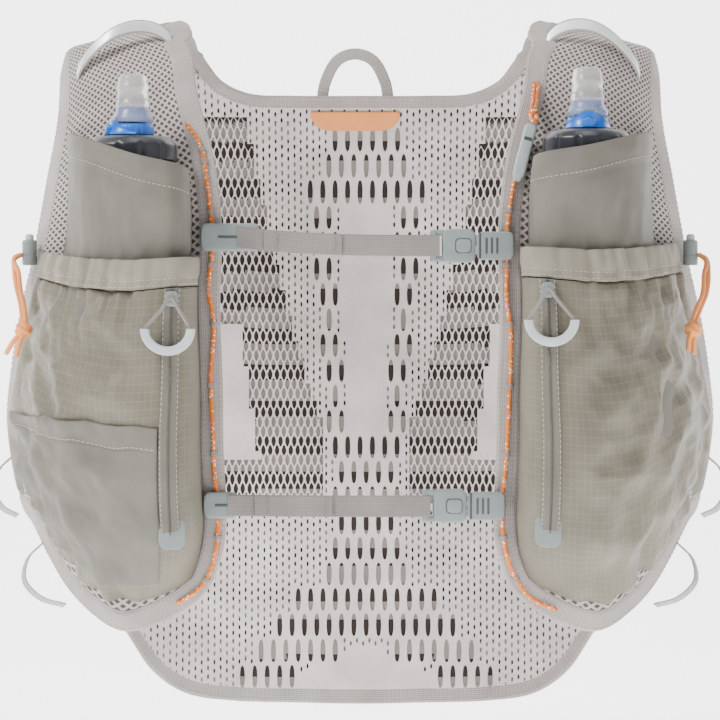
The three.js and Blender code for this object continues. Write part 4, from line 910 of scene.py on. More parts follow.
# Welded polyurethane film of the flasks: clear, a little wavy.
FILM = Moulded("tpu_flask_film", "#9AA6AA", 0.22, 3.0, 0.1, see_through=0.35, ior=1.49)
# Injection-moulded polypropylene, black for the caps and blue for the dials.
CAP = Moulded("moulded_polypropylene_cap", "#23242B", 0.4, 0.4, 0.15)
BLUE = Moulded("moulded_blue_polypropylene", "#0B62C4", 0.32, 0.4, 0.08, coat=0.2)
# Cast clear silicone of the bite valves.
SILICONE = Moulded("moulded_clear_silicone", "#E8E9E6", 0.3, 0.6, 0.05, see_through=0.8, ior=1.41)
# Injection-moulded acetal of the buckles, hooks and sliders, and the same in deep recesses.
ACETAL = Moulded("moulded_acetal", "#7C8584", 0.42, 0.35, 0.12)
DARK_ACETAL = Moulded("moulded_acetal_in_shade", "#3F4545", 0.5, 0.35, 0.12)
# Soft moulded grips, the whistle's styrene and the coated nylon coil of the zips.
PALE = Moulded("moulded_pale_tpe", "#B2B8B9", 0.5, 0.4, 0.12)
WHISTLE = Moulded("moulded_whistle_abs", "#9DA6A6", 0.4, 0.4, 0.08)
ZIP = Moulded("coated_zip_coil", "#5D584E", 0.5, 0.4, 0.1)


def placed(name: str, data: object) -> Piece:
    """A new object in the scene that shows some data."""
    thing = bpy.data.objects.new(name, data)
    bpy.context.scene.collection.objects.link(thing)
    return thing


class Workshop:
    """Turns shapes into objects, dresses them and joins them to the frame."""

    def __init__(self) -> None:
        """Start with no materials made."""
        self.made: dict[str, bpy.types.Material] = {}

    def finish(self, finish: Cloth | Moulded) -> bpy.types.Material:
        """The shader material of a finish, made once."""
        if finish.name not in self.made:
            self.made[finish.name] = finish.material()
        return self.made[finish.name]

    def piece(
        self, name: str, shape: Shape, finish: Cloth | Moulded, slot: str, nodes: Sequence[str] = (),
        body: str = BODY, wall: float = 0.0, sharp: float = 40.0, level: int = 0, offset: float = 0.0,
    ) -> Piece:
        """Make one object of the vest.

        Args:
            name: The piece's name.
            shape: Its shape in millimetres.
            finish: Its finish.
            slot: A material slot's name; not used.
            nodes: The CAD nodes that it stands for.
            body: The moving body it rides on.
            wall: Thickness given to an open surface, in millimetres.
            sharp: Edges sharper than this angle stay crisp, in degrees.
            level: Subdivision level.
            offset: Which way the wall grows, from -1 inwards to 1 outwards.

        Returns:
            The object.
        """
        mesh = bpy.data.meshes.new(name)
        mesh.from_pydata((shape.verts * MM).tolist(), [], [[int(i) for i in f] for f in shape.faces])
        loops = np.empty(len(mesh.loops), np.int32)
        mesh.loops.foreach_get("vertex_index", loops)
        layer = mesh.uv_layers.new(name="cloth")
        layer.data.foreach_set("uv", shape.uv[loops].astype(np.float32).ravel())
        mesh.polygons.foreach_set("use_smooth", np.ones(len(mesh.polygons), bool))
        mesh.update()
        mesh.set_sharp_from_angle(angle=math.radians(sharp))
        mesh.materials.append(self.finish(finish))
        piece = placed(name, mesh)
        if level:
            round_off = piece.modifiers.new("round_off", "SUBSURF")
            round_off.levels = round_off.render_levels = level
        if wall:
            thicken = piece.modifiers.new("thickness", "SOLIDIFY")
            thicken.thickness = wall * MM
            thicken.offset = offset
        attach(piece, body)
        if nodes:
            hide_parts(*nodes)
        LOG.info("%s: %d faces", name, len(shape.faces))
        return piece

    @staticmethod
    def sheet(piece: Piece, grid: Array, held: str, with_pieces: Sequence[Piece] = ()) -> None:
        """Take a cloth's finished surface; nothing is done with it here.

        Args:
            piece: The cloth; not used.
            grid: Its surface as rows and columns of points, in millimetres; not used.
            held: How it is held; not used.
            with_pieces: Pieces sewn to it; not used.
        """


    @staticmethod
    def cord(
        piece: Piece, line: Array, diameter: float, far_end: str, stiffness: str, lay: str,
        with_pieces: Sequence[Piece] = (),
    ) -> None:
        """Take a cord whose route is known; nothing is done with it here.

        Args:
            piece: The cord; not used.
            line: Its route in millimetres, from where it leaves its holder; not used.
            diameter: Its thickness in metres; not used.
            far_end: What holds the other end; not used.
            stiffness: How it bends; not used.
            lay: How it lies; not used.
            with_pieces: Pieces that go with it; not used.
        """


class Maker:
    """A part of the vest whose pieces and CAD nodes have names that end in the same word."""

    shop: Workshop
    word: str

    def make(
        self, name: str, shape: Shape, finish: Cloth | Moulded, slot: str, node: str = "", **options: object
    ) -> Piece:
        """Make a piece.

        Args:
            name: The piece's name without its last word.
            shape: Its shape.
            finish: Its finish.
            slot: A material slot's name, passed to the workshop.
            node: The CAD node that it stands for, without its last word.
            **options: What else the workshop's piece takes.

        Returns:
            The object.
        """
        nodes = [f"{node}_{self.word}"] if node else ()
        return self.shop.piece(f"{name}_{self.word}", shape, finish, slot, nodes, **options)


def crumple(across: Array, down: Array, seed: int, waves: int = 16) -> Array:
    """The height of soft creases in loose cloth.

    Formula: the sum of folded waves, each one minus twice the size of a sine, that run in directions
    drawn by a seeded generator, with wavelengths from 13 to 48 mm and bent by a slower wave.

    Args:
        across: Distance across the cloth in millimetres.
        down: Distance down it.
        seed: The generator's seed.
        waves: How many waves are summed.

    Returns:
        Heights of about -1 to 1.
    """
    draw = np.random.default_rng(seed)
    total = np.zeros(np.broadcast(across, down).shape)
    for _ in range(waves):
        way, long, start = draw.uniform(0, np.pi), draw.uniform(13, 48), draw.uniform(0, 6)
        along = across * math.cos(way) + down * math.sin(way)
        aside = down * math.cos(way) - across * math.sin(way)
        bent = along + 0.12 * long * np.sin(aside / long * 2.1 + start)
        total += (long / 48) * (1 - 2 * np.abs(np.sin(np.pi * bent / long + start)))
    return total / math.sqrt(waves)


def stitches(path: Array, normal: Array, length: float = 2.2, gap: float = 1.0, thick: float = 0.55) -> Shape:
    """A row of stitches along a line.

    Formula: each stitch is a short bead whose height over the cloth is a half sine along its length;
    all beads are one array of boxes with six-sided sections.

    Args:
        path: The seam line.
        normal: The cloth's outward direction at each point.
        length: A stitch's length in millimetres.
        gap: Distance between stitches.
        thick: Thread thickness.
    """
    run = np.concatenate([[0], np.cumsum(np.linalg.norm(np.diff(path, axis=0), axis=1))])
    count = max(int(run[-1] // (length + gap)), 1)
    start = (np.arange(count) + 0.5) * run[-1] / count - length / 2
    share = np.linspace(0, 1, 5)
    at = start[:, None] + share[None] * length

    def pick(table: Array) -> Array:
        """Values of a table at each stitch's sections."""
        return np.stack([np.interp(at, run, table[:, k]) for k in range(3)], -1)

    centre, up = pick(path), unit(pick(np.broadcast_to(normal, path.shape)))
    along = unit(np.gradient(centre, axis=1))
    side = np.cross(along, up)
    hump = np.sin(np.pi * share) ** 0.6
    turn = np.linspace(0, 2 * np.pi, 6, endpoint=False)
    size = thick / 2 * (0.35 + 0.65 * hump)
    grid = (
        centre[:, :, None] + up[:, :, None] * (hump * thick * 0.3)[None, :, None, None]
        + up[:, :, None] * (size[:, None] * np.sin(turn))[None, :, :, None]
        + side[:, :, None] * (size[:, None] * np.cos(turn))[None, :, :, None]
    )
    quads = grid_faces(5, 6, False, True)
    faces = (quads[None] + (np.arange(count) * 30)[:, None, None]).reshape(-1, 4)
    ends = np.concatenate([np.arange(6)[None, ::-1], 24 + np.arange(6)[None]])
    caps = (ends[None] + (np.arange(count) * 30)[:, None, None]).reshape(-1, 6)
    uv = np.stack(np.broadcast_arrays(turn[None], share[:, None] * length), -1)
    uv = np.broadcast_to(uv, (count, 5, 6, 2))
    return Shape(grid.reshape(-1, 3), list(faces) + list(caps), uv.reshape(-1, 2))


def edge_stitches(edge: Array, turn: int, reach: float, lift: float, shift: float, length: float) -> Shape:
    """A row of stitches on the tape along an edge.

    Args:
        edge: The edge's spots.
        turn: Which side of the edge the tape lies on.
        reach: Distance of the row from the edge.
        lift: Height of the row over the body; below zero it shows on the inside.
        shift: Distance that the panel stands back.
        length: A stitch's length.
    """
    spots = TORSO.step(edge, edge_way(edge, turn), reach)
    path = TORSO.lifted(spots, lift)
    path[:, 1] += shift
    return stitches(path, TORSO.outward(spots) * math.copysign(1, lift), length, 1.2, 0.5)


# ---------------------------------------------------------------- the back


@dataclass(frozen=True)
class Lattice:
    """One kind of opening in the knitted back.

    Attributes:
        outline: The cell's corners about its centre, in millimetres.
        hole: Width and height of the opening.
        point: 1 makes the opening an ellipse; above 1 its ends are pointed, below 1 they are blunt.
        parts: Steps along each side of the cell.
    """

    outline: tuple
    hole: tuple[float, float]
    point: float
    parts: int = 2

    def ring(self) -> tuple[Array, Array]:
        """The cell's outer points and the points of its opening.

        Formula: the outer points divide the cell's sides evenly; the opening's are width times a
        power of the cosine and height times the sine of the same direction.
        """
        corners = np.array(self.outline, float)
        share = np.arange(self.parts)[:, None] / self.parts
        ends = np.roll(corners, -1, 0)
        outer = np.vstack([a * (1 - share) + b * share for a, b in zip(corners, ends)])
        reach = np.abs(corners).max(0)
        turn = np.arctan2(outer[:, 1] / reach[1], outer[:, 0] / reach[0])
        cosine = np.sign(np.cos(turn)) * np.abs(np.cos(turn)) ** self.point
        return outer, np.stack([cosine, np.sin(turn)], 1) * np.array(self.hole) / 2


def box_cell(width: float, height: float) -> tuple:
    """A rectangular cell's corners."""
    w, h = width / 2, height / 2
    return ((w, -h), (w, h), (-w, h), (-w, -h))


def net_cell(width: float, rise: float, side: float) -> tuple:
    """A six-sided cell's corners, for rows that are staggered by half a width."""
    w, h = width / 2, rise - side
    return ((w, -side), (w, side), (0, h), (-w, side), (-w, -side), (0, -h))


@dataclass
class Back:
    """The knitted back with its bindings, label and hang loop.

    Attributes:
        shop: Where its pieces are made.
        cell: Width and height of the finest cell.
        net: Width and rise of a netted cell.
        top: Height at which the openwork ends under the yoke.
        face: Lift of the openwork; below zero is inside.
        middle: Where the design's middle stands.
        stripe: Height of each band of the liner; every other band is near-black painted shade.
        big: The long oval openings.
        medium: The net's openings.
        small: The fine openings.
    """

    shop: Workshop
    cell: tuple[float, float] = (3.96, 5.43)
    net: tuple[float, float] = (4.4, 6.1)
    top: float = -27.0
    face: float = -1.2
    middle: float = 4.0
    stripe: float = 11.7
    big: Lattice = Lattice(box_cell(7.92, 16.29), (3.5, 15.3), 0.8, 4)
    medium: Lattice = Lattice(net_cell(4.4, 6.1, 1.3), (3.1, 7.9), 1.5, 2)
    small: Lattice = Lattice(box_cell(3.96, 5.43), (1.5, 3.5), 1.0, 2)

    def rim(self) -> Array:
        """The back panel's outline as x and z in millimetres, cut level under the yoke."""
        share = np.linspace(0, 1, 150)
        lower = TORSO.point(BACK_SEAM.at(share))
        upper = TORSO.point(NECK_SEAM.at(share[::-1]))
        line = np.vstack([lower, upper])[:, [0, 2]]
        line[:, 1] = np.minimum(line[:, 1], self.top)
        return even(np.vstack([line, line[:1]]), 240)

    @staticmethod
    def within(places: Array, rim: Array) -> tuple[Array, Array]:
        """Whether places lie inside the outline, and the outline's nearest point to each.

        Formula: a place is inside when a line from it to the right crosses the outline an odd number
        of times.
        """
        a, b = rim[:-1], rim[1:]
        x, z = places[:, :1], places[:, 1:]
        crosses = (a[:, 1] > z) != (b[:, 1] > z)
        rise = np.where(a[:, 1] == b[:, 1], 1e-9, b[:, 1] - a[:, 1])
        inside = (crosses & (x < a[:, 0] + (z - a[:, 1]) / rise * (b[:, 0] - a[:, 0]))).sum(1) % 2 == 1
        edge = b - a
        t = ((places[:, None] - a) * edge).sum(-1) / np.maximum((edge * edge).sum(-1), 1e-9)
        foot = a + np.clip(t, 0, 1)[..., None] * edge
        far = np.linalg.norm(places[:, None] - foot, axis=-1)
        nearest = foot[np.arange(len(places)), far.argmin(1)]
        return inside, nearest

    def zone(self, x: Array, z: Array) -> Array:
        """The knit's design: 0 closed, 1 small, 2 netted and 3 big openings."""
        m, d = np.abs(x - self.middle), -z

        def limit(depths: Sequence[float], reach: Sequence[float]) -> Array:
            """How far from the middle a zone reaches at each depth."""
            return np.interp(d, depths, reach)

        out = np.ones(x.shape, int)
        out[(m > limit([50, 124, 194, 250, 300], [78, 62, 46, 28, 26])) & (d > 52) & (d < 302)] = 2
        block = (m < limit([58, 84, 88], [29, 29, 39])) & (d > 56) & (d < 106)
        legs = (m > limit([104, 188, 262], [17, 14, 8])) & (m < limit([104, 188, 262], [38, 31, 24]))
        column = (m < limit([262, 338], [22, 22])) & (d >= 262) & (d < 340)
        foot = (m < limit([338, 391, 408], [26, 73, 92])) & (d >= 340) & (d < 410)
        out[block | (legs & (d >= 104) & (d < 264)) | column | foot] = 3
        strip = (m < limit([104, 188, 258], [16, 14, 12])) & (d > 108) & (d < 258)
        flank = (m > limit([188, 265], [81, 69])) & (d > 186) & (d < 270)
        tip = (m < limit([391, 420], [10, 66])) & (d > 391)
        out[strip | flank | tip] = 0
        return out

    def plan(self) -> dict[str, Array]:
        """Which openings stand where: centres of the big, netted, small and closed cells."""
        w, h = self.cell
        columns, rows = 96, 78
        i, j = np.meshgrid(np.arange(columns), np.arange(rows), indexing="ij")
        x = (i - columns / 2 + 0.5) * w + self.middle
        z = -21 - (j + 0.5) * h
        kind = self.zone(x, z)
        free = kind != 2
        big = []
        for row in range(1, rows - 2, 3):
            for column in range((row // 3) % 2, columns - 1, 2):
                block = (slice(column, column + 2), slice(row, row + 3))
                if (kind[block] == 3).sum() >= 4:
                    free[block] = False
                    kind[block] = 3
                    big.append((x[block].mean(), z[block].mean()))
        p, r = self.net
        k, n = np.meshgrid(np.arange(90), np.arange(72), indexing="ij")
        nx = (k - 45 + (n % 2) / 2) * p + self.middle
        nz = -21 - n * r
        column = np.clip(((nx - self.middle) / w + columns / 2).astype(int), 0, columns - 1)
        row = np.clip(((-21 - nz) / h).astype(int), 0, rows - 1)
        netted = kind[column, row] == 2
        small, closed = free & (kind > 0), free & (kind == 0)
        shift = np.where(i % 2 == 0, 0.95, -0.95)
        return {
            "big": np.array(big),
            "medium": np.stack([nx[netted], nz[netted]], 1),
            "small": np.stack([x[small], z[small], shift[small]], 1),
            "closed": np.stack([x[closed], z[closed]], 1),
        }

    def cells(self, centres: Array, size: Lattice, rim: Array) -> Shape:
        """Knitted cells with an opening each.

        Formula: a ring of faces between the cell's sides and its opening, and a wall from the
        opening's edge to the liner. Points that fall outside the panel are drawn to its outline.
        A third value beside a centre moves its opening up.
        """
        outer, hole = size.ring()
        corners = len(outer)
        shift = centres[:, 2] if centres.shape[1] > 2 else np.zeros(len(centres))
        centres = centres[:, :2]
        reach = np.abs(outer).max(0)
        touch = np.zeros(len(centres), bool)
        for dx, dz in ((0, 0), (0, reach[1]), (0, -reach[1]), (reach[0], 0), (-reach[0], 0)):
            touch |= self.within(centres + np.array([dx, dz]) * 0.9, rim)[0]
        centres, shift = centres[touch], shift[touch]
        flat = centres[:, None, None] + np.stack([outer, hole, hole * 0.95])[None]
        flat[:, 1:, :, 1] += shift[:, None, None]
        flat = flat.reshape(-1, 2)
        safe, edge = self.within(flat, rim)
        flat = np.where(safe[:, None], flat, edge)
        lift = np.broadcast_to(
            np.array([self.face, self.face - 0.15, self.face + 0.95])[None, :, None],
            (len(centres), 3, corners),
        ).ravel()
        verts = TORSO.lifted(TORSO.back(flat[:, 0], flat[:, 1]), lift)
        verts[:, 1] += RIDGE_SHIFT
        quads = grid_faces(3, corners, False, True)
        faces = (quads[None] + (np.arange(len(centres)) * 3 * corners)[:, None, None]).reshape(-1, 4)
        return Shape(verts, list(faces), flat)

    def closed(self, centres: Array, rim: Array) -> Shape:
        """Plain knit where the design has no openings."""
        corner = np.array(box_cell(*self.cell))
        flat = (centres[:, None] + corner).reshape(-1, 2)
        safe, edge = self.within(flat, rim)
        keep = np.repeat(safe.reshape(-1, 4).any(1), 4)
        flat = np.where(safe[:, None], flat, edge)[keep]
        verts = TORSO.lifted(TORSO.back(flat[:, 0], flat[:, 1]), np.full(len(flat), self.face))
        verts[:, 1] += RIDGE_SHIFT
        return Shape(verts, list(np.arange(len(flat)).reshape(-1, 4)), flat)

    def layer(self, lift: float, rows: int, columns: int, shift: float = RIDGE_SHIFT) -> Array:
        """A grid over the whole back panel."""
        grid = TORSO.lifted(back_patch(*spread(columns, rows)), lift)
        grid[..., 1] += shift
        return grid

    def knit(self) -> None:
        """Openwork face, liner in bands of grey knit and painted shade, plain outer knit and the yoke's mesh.
        """
        rim, plan = self.rim(), self.plan()
        face = Shape.joined(
            self.cells(plan["big"], self.big, rim),
            self.cells(plan["medium"], self.medium, rim),
            self.cells(plan["small"], self.small, rim),
            self.closed(plan["closed"], rim),
        )
        openwork = self.shop.piece("back_openwork_knit", face, KNIT, "spacer_knit", sharp=60)
        grid = self.layer(-0.15, 121, 91)
        base = surface(grid)
        faces = np.array(base.faces)
        height = base.verts[faces][:, :, 2].mean(1)
        # Every other band of the liner is near-black painted shade, for openings that look into shadow.
        stripe = np.floor((-height - 69) / self.stripe).astype(int) % 2 == 0
        dark = Shape(base.verts, list(faces[stripe]), base.uv)
        grey = Shape(base.verts, list(faces[~stripe]), base.uv)
        # The dark liner is painted shade; the grey liner is the liner's own colour.
        liner = [
            self.shop.piece("back_liner_dark", dark, SHADE_LINER, "spacer_knit"),
            self.shop.piece("back_liner_grey", grey, GREY_LINER, "spacer_knit"),
        ]
        yoke = surface(self.layer(self.face, 81, 91))
        faces = np.array(yoke.faces)
        high = yoke.verts[faces][:, :, 2].mean(1) > self.top - 2
        shoulder = Shape(yoke.verts, list(faces[high]), yoke.uv)
        top = self.shop.piece("back_yoke_mesh", shoulder, MESH, "shoulder_mesh", wall=0.5)
        outer = self.shop.piece(
            "back_outer_knit", surface(self.layer(0.75, 81, 71)), KNIT, "spacer_knit", ["back_panel"],
            wall=0.8,
        )
        self.shop.sheet(outer, self.layer(0.75, 81, 71), "stretched", [openwork, *liner, top])

    def bindings(self) -> None:
        """The tapes round the neck and the bottom, with their stitching."""
        neck = NECK_SEAM.at(np.linspace(0.016, 0.984, 140))
        tape = band(neck, 8.0, -1, 2.6).moved(y=RIDGE_SHIFT)
        self.shop.piece("neck_binding_tape", tape, BINDING, "binding_tape", ["neck_binding"])
        hem = BACK_SEAM.at(np.linspace(SIDE_TOP + 0.004, 1 - SIDE_TOP - 0.004, 220))
        tape = band(hem, 8.5, 1, 2.6).moved(y=RIDGE_SHIFT)
        self.shop.piece("back_hem_tape", tape, BINDING, "binding_tape", ["back_hem_binding"])
        rows = [
            edge_stitches(edge, turn, reach, -1.28, RIDGE_SHIFT, 2.4)
            for edge, turn, reach in ((neck, -1, 0.6), (neck, -1, 6.6), (hem, 1, 0.6), (hem, 1, 7.0))
        ]
        self.shop.piece("back_tape_stitches", Shape.joined(*rows), THREAD, "binding_tape")

    def label(self) -> None:
        """The bare trapezoid of bonded film under the neck binding."""
        across, down = spread(31, 13)
        half = (56 + (44 - 56) * down**3) / 2
        x = -half + 2 * half * across - 3
        rounding = 1.5 * np.abs(2 * across - 1) ** 8
        z = -(49.6 + (11.5 - rounding) * down)
        grid = TORSO.lifted(TORSO.back(x, z), -2.3)
        grid[..., 1] += RIDGE_SHIFT
        self.shop.piece("neck_label_film", surface(grid), LABEL, "label_film", ["neck_label"], wall=0.8)

    def hang_loop(self) -> None:
        """The tape loop at the neck, its ends tacked onto the binding."""
        rows = [
            (-24, 46.5, 73), (-22, 33, 72.4), (-14, 18.5, 71.6), (-3, 14.5, 71.4), (8, 18.5, 71.6),
            (16, 33, 72.4), (18, 46.5, 73),
        ]
        path = smooth_line([(x, y, -drop) for x, drop, y in rows], 90)
        run = unit(np.gradient(path, axis=0))
        across = np.stack([-run[:, 2], np.zeros(len(run)), run[:, 0]], 1)
        loop = strap(path, across, 7.2, 1.6)
        piece = self.shop.piece("hang_loop_tape", loop, BINDING, "grey_webbing", ["hang_loop"])
        bars = []
        for x in (-24.0, 18.0):
            for z in (-44.0, -46.5):
                line = np.linspace([x - 3, 71.9, z], [x + 3, 71.9, z], 12)
                bars.append(stitches(line, np.tile([0, -1.0, 0], (12, 1)), 1.0, 0.05, 0.7))
        self.shop.piece("hang_loop_tacks", Shape.joined(*bars), DARK_THREAD, "grey_webbing")

    def build(self) -> None:
        """Make every piece of the back."""
        self.knit()
        self.bindings()
        self.label()
        self.hang_loop()


# ---------------------------------------------------------------- the fronts


@dataclass(frozen=True)
class FrontPlan:
    """What differs between the two fronts.

    Attributes:
        side: Which front.
        mouth: Shares of the panel's height where the bottle pocket opens, inner and outer end.
        hem_top: Where the cargo pocket's hem starts.
        hem_foot: Where it ends.
        cap_top: Drop of the flask cap's top, as a share of the back's length.
        dial_turn: The dial lever's direction in degrees.
        lace: The edge lace's points, x and drop in millimetres.
        elastic: Two strands' points, x, y and drop.
    """

    side: Side
    mouth: tuple[float, float]
    hem_top: tuple[float, float]
    hem_foot: tuple[float, float]
    cap_top: float
    dial_turn: float
    lace: tuple
    elastic: tuple


LEFT_PLAN = FrontPlan(
    Side.LEFT, (0.368, 0.25), (0.503, 0.493), (0.545, 0.543), 0.182, 200,
    (
        (-101, 70), (-93, 81.5), (-88.4, 104), (-85.9, 124), (-85.1, 144), (-87, 167), (-84.2, 184),
        (-84.6, 201), (-85.7, 218), (-84.3, 246.6), (-83.5, 272), (-81.5, 287), (-81.2, 303.5),
        (-83.6, 322), (-91, 337.5), (-104.8, 347.5),
    ),
    (
        (
            (-201.5, -49.4, 144.5), (-205, -51.5, 146), (-204.6, -59.3, 153), (-202.6, -68.7, 163),
            (-199, -79.3, 174), (-197, -87.8, 184), (-196.5, -91.5, 189.5), (-202, -90, 196),
            (-206.5, -86, 203),
        ),
        (
            (-201.4, -52.8, 144.5), (-205, -56, 147.5), (-201.6, -64.4, 155), (-199.6, -73.3, 165),
            (-196.6, -83, 175), (-195, -90.8, 184), (-195, -94, 189.5), (-198, -94, 197),
            (-200, -92, 204.5),
        ),
    ),
)
RIGHT_PLAN = FrontPlan(
    Side.RIGHT, (0.347, 0.25), (0.488, 0.475), (0.531, 0.532), 0.173, 270,
    (
        (97.8, 79), (93.6, 91), (89.3, 103.5), (85.2, 129), (84.6, 150), (84.5, 172.5), (86.6, 190),
        (86.4, 210), (85.6, 230), (83.4, 270), (81.3, 287.5), (82.4, 310), (87.4, 329), (97.5, 344),
        (112.6, 351.5),
    ),
    (
        (
            (201.5, -49.4, 144.5), (205.5, -52, 147), (206, -61.3, 156), (204, -72, 167),
            (199.2, -83, 177), (196, -90.2, 184), (195, -94.7, 189), (194.1, -96.2, 196),
            (193.9, -96.7, 203),
        ),
        (
            (201.4, -52.8, 144.5), (205, -56.4, 148), (202.8, -66.2, 157), (201, -76.8, 168),
            (196.3, -86.6, 177.5), (193.4, -93.2, 184), (192.5, -97.7, 189), (190.9, -99, 196),
            (190.5, -99.2, 201),
        ),
    ),
)

CARGO_SECTION = (
    (0, 0, 0), (0.025, 0.45, -0.05), (0.055, 0.75, -0.075), (0.09, 0.89, -0.08), (0.15, 0.96, -0.07),
    (0.24, 1, -0.03), (0.36, 0.95, 0.02), (0.5, 0.9, 0.06), (0.64, 0.77, 0.08), (0.77, 0.55, 0.08),
    (0.88, 0.2, 0.06), (0.95, 0.08, 0.03), (1, 0, 0),
)
BOTTLE_SECTION = (
    (0, 0, 0), (0.02, 0.4, -0.05), (0.06, 0.76, -0.07), (0.14, 0.93, -0.05), (0.27, 0.99, 0),
    (0.42, 1, 0), (0.56, 1, 0), (0.68, 1, 0), (0.8, 0.88, 0.02), (0.91, 0.54, 0.03), (1, 0, 0),
)
CARGO_FULLNESS = (
    (0, 1), (0.2, 0.985), (0.4, 0.96), (0.6, 0.9), (0.75, 0.76), (0.87, 0.52), (0.95, 0.26), (1, 0.04),
)
BOTTLE_FULLNESS = ((0, 1), (0.16, 0.9), (0.31, 0.8), (0.57, 0.76), (0.83, 0.71), (0.94, 0.66), (1, 0.06))
FLASK_ROWS = (
    (0, 0.5, 0.3, 0.985), (0.03, 0.82, 0.66, 0.99), (0.1, 0.98, 0.92, 1), (0.4, 1, 1, 0.997),
    (0.66, 0.99, 1, 0.955), (0.82, 0.93, 1.04, 0.92), (0.93, 0.85, 1.2, 0.897), (1, 0.78, 1.36, 0.895),
)
STRETCH_TOP = (
    (0.15, 0.455), (0.24, 0.438), (0.36, 0.437), (0.5, 0.457), (0.64, 0.495), (0.77, 0.55), (0.88, 0.6),
)
CAP_PROFILE = (  # radius, height and share of the ribs' depth
    (24, 0, 0), (25.2, 0.3, 0.2), (25.8, 1.0, 0.8), (26, 2, 1), (26, 9, 1), (25.8, 9.8, 0.7),
    (25.2, 10.6, 0.2), (24.4, 11.6, 0), (23, 13.3, 0), (20.5, 14.4, 0), (18, 14.9, 0), (15.5, 15, 0),
    (15.2, 14.6, 0), (14.8, 14.6, 0), (14.5, 15, 0), (6.6, 15, 0), (6.0, 15.2, 0), (6, 22.4, 0),
    (5.6, 22.6, 0),
)
DIAL_PROFILE = (  # the same, with the dial's fine ribs
    (6.35, 0, 0), (11.9, 0, 0), (12.3, 0.3, 1), (12.4, 0.8, 1), (12.4, 4.6, 1), (12.1, 5.4, 0.6),
    (11.4, 6.3, 0), (10.4, 6.9, 0), (8.2, 7, 0), (7.2, 6.7, 0), (6.35, 6.6, 0),
)
BITE_PROFILE = (  # radius and height
    (11.4, 0), (11.9, 0.3), (12, 0.9), (12, 2.4), (11.7, 3.2), (10.9, 4.4), (9.9, 6.4), (9.5, 8),
    (9.35, 9.6), (9.9, 10.2), (9.9, 11.2), (9.2, 11.8), (8.9, 15), (8.8, 19), (9.3, 19.8), (9.3, 21),
    (8.6, 22), (8.2, 25), (7.9, 26.4), (7.1, 27.5), (5.6, 28), (2.6, 28), (2.1, 27.4), (0.01, 27.2),
)
BARREL_PROFILE = (  # the cord lock's bored barrel
    (2.0, 0), (3.6, 0), (4.2, 0.3), (4.4, 0.9), (4.4, 5.6), (4.1, 5.9), (4.1, 6.5), (4.4, 6.8),
    (4.4, 13.8), (4.1, 14.6), (3.6, 15), (2.95, 15), (2.92, 14.4), (2.92, 4.5), (0.01, 4.5),
)
BUTTON_PROFILE = (  # its button, down to the spring
    (0.01, 7.8), (2.55, 7.8), (2.58, 8.2), (2.58, 17.2), (2.35, 18.0), (1.7, 18.55), (0.9, 18.7),
    (0.01, 18.75),
)
CORE_PROFILE = (  # the plug inside the bite valve
    (0.01, 0), (8.2, 0), (8.6, 0.5), (8.6, 6), (7.2, 8.4), (5.6, 9), (0.01, 9),
)
FLASK_HALF = (29, 16)  # half the flask's width and thickness
PLEAT_LENGTHS = (190, 185)  # the cargo pocket's width and height, for its creases
LACE_LIFT = 3.05  # the lace's middle over the body


def on_front(x: Array, drop: Array, lift: Array | float) -> Array:
    """Places over the front panels at x and drop."""
    spot = TORSO.front(np.asarray(x, float), -np.asarray(drop, float))
    point = TORSO.lifted(spot, np.broadcast_to(lift, spot.shape[:-1]))
    point[..., 1] -= RIDGE_SHIFT
    return point


# Where the zip sliders stand, in millimetres.
ZIP_SLIDERS = {Side.LEFT: (-106.25, -157.2, -172.5), Side.RIGHT: (105.95, -156.6, -167.4)}


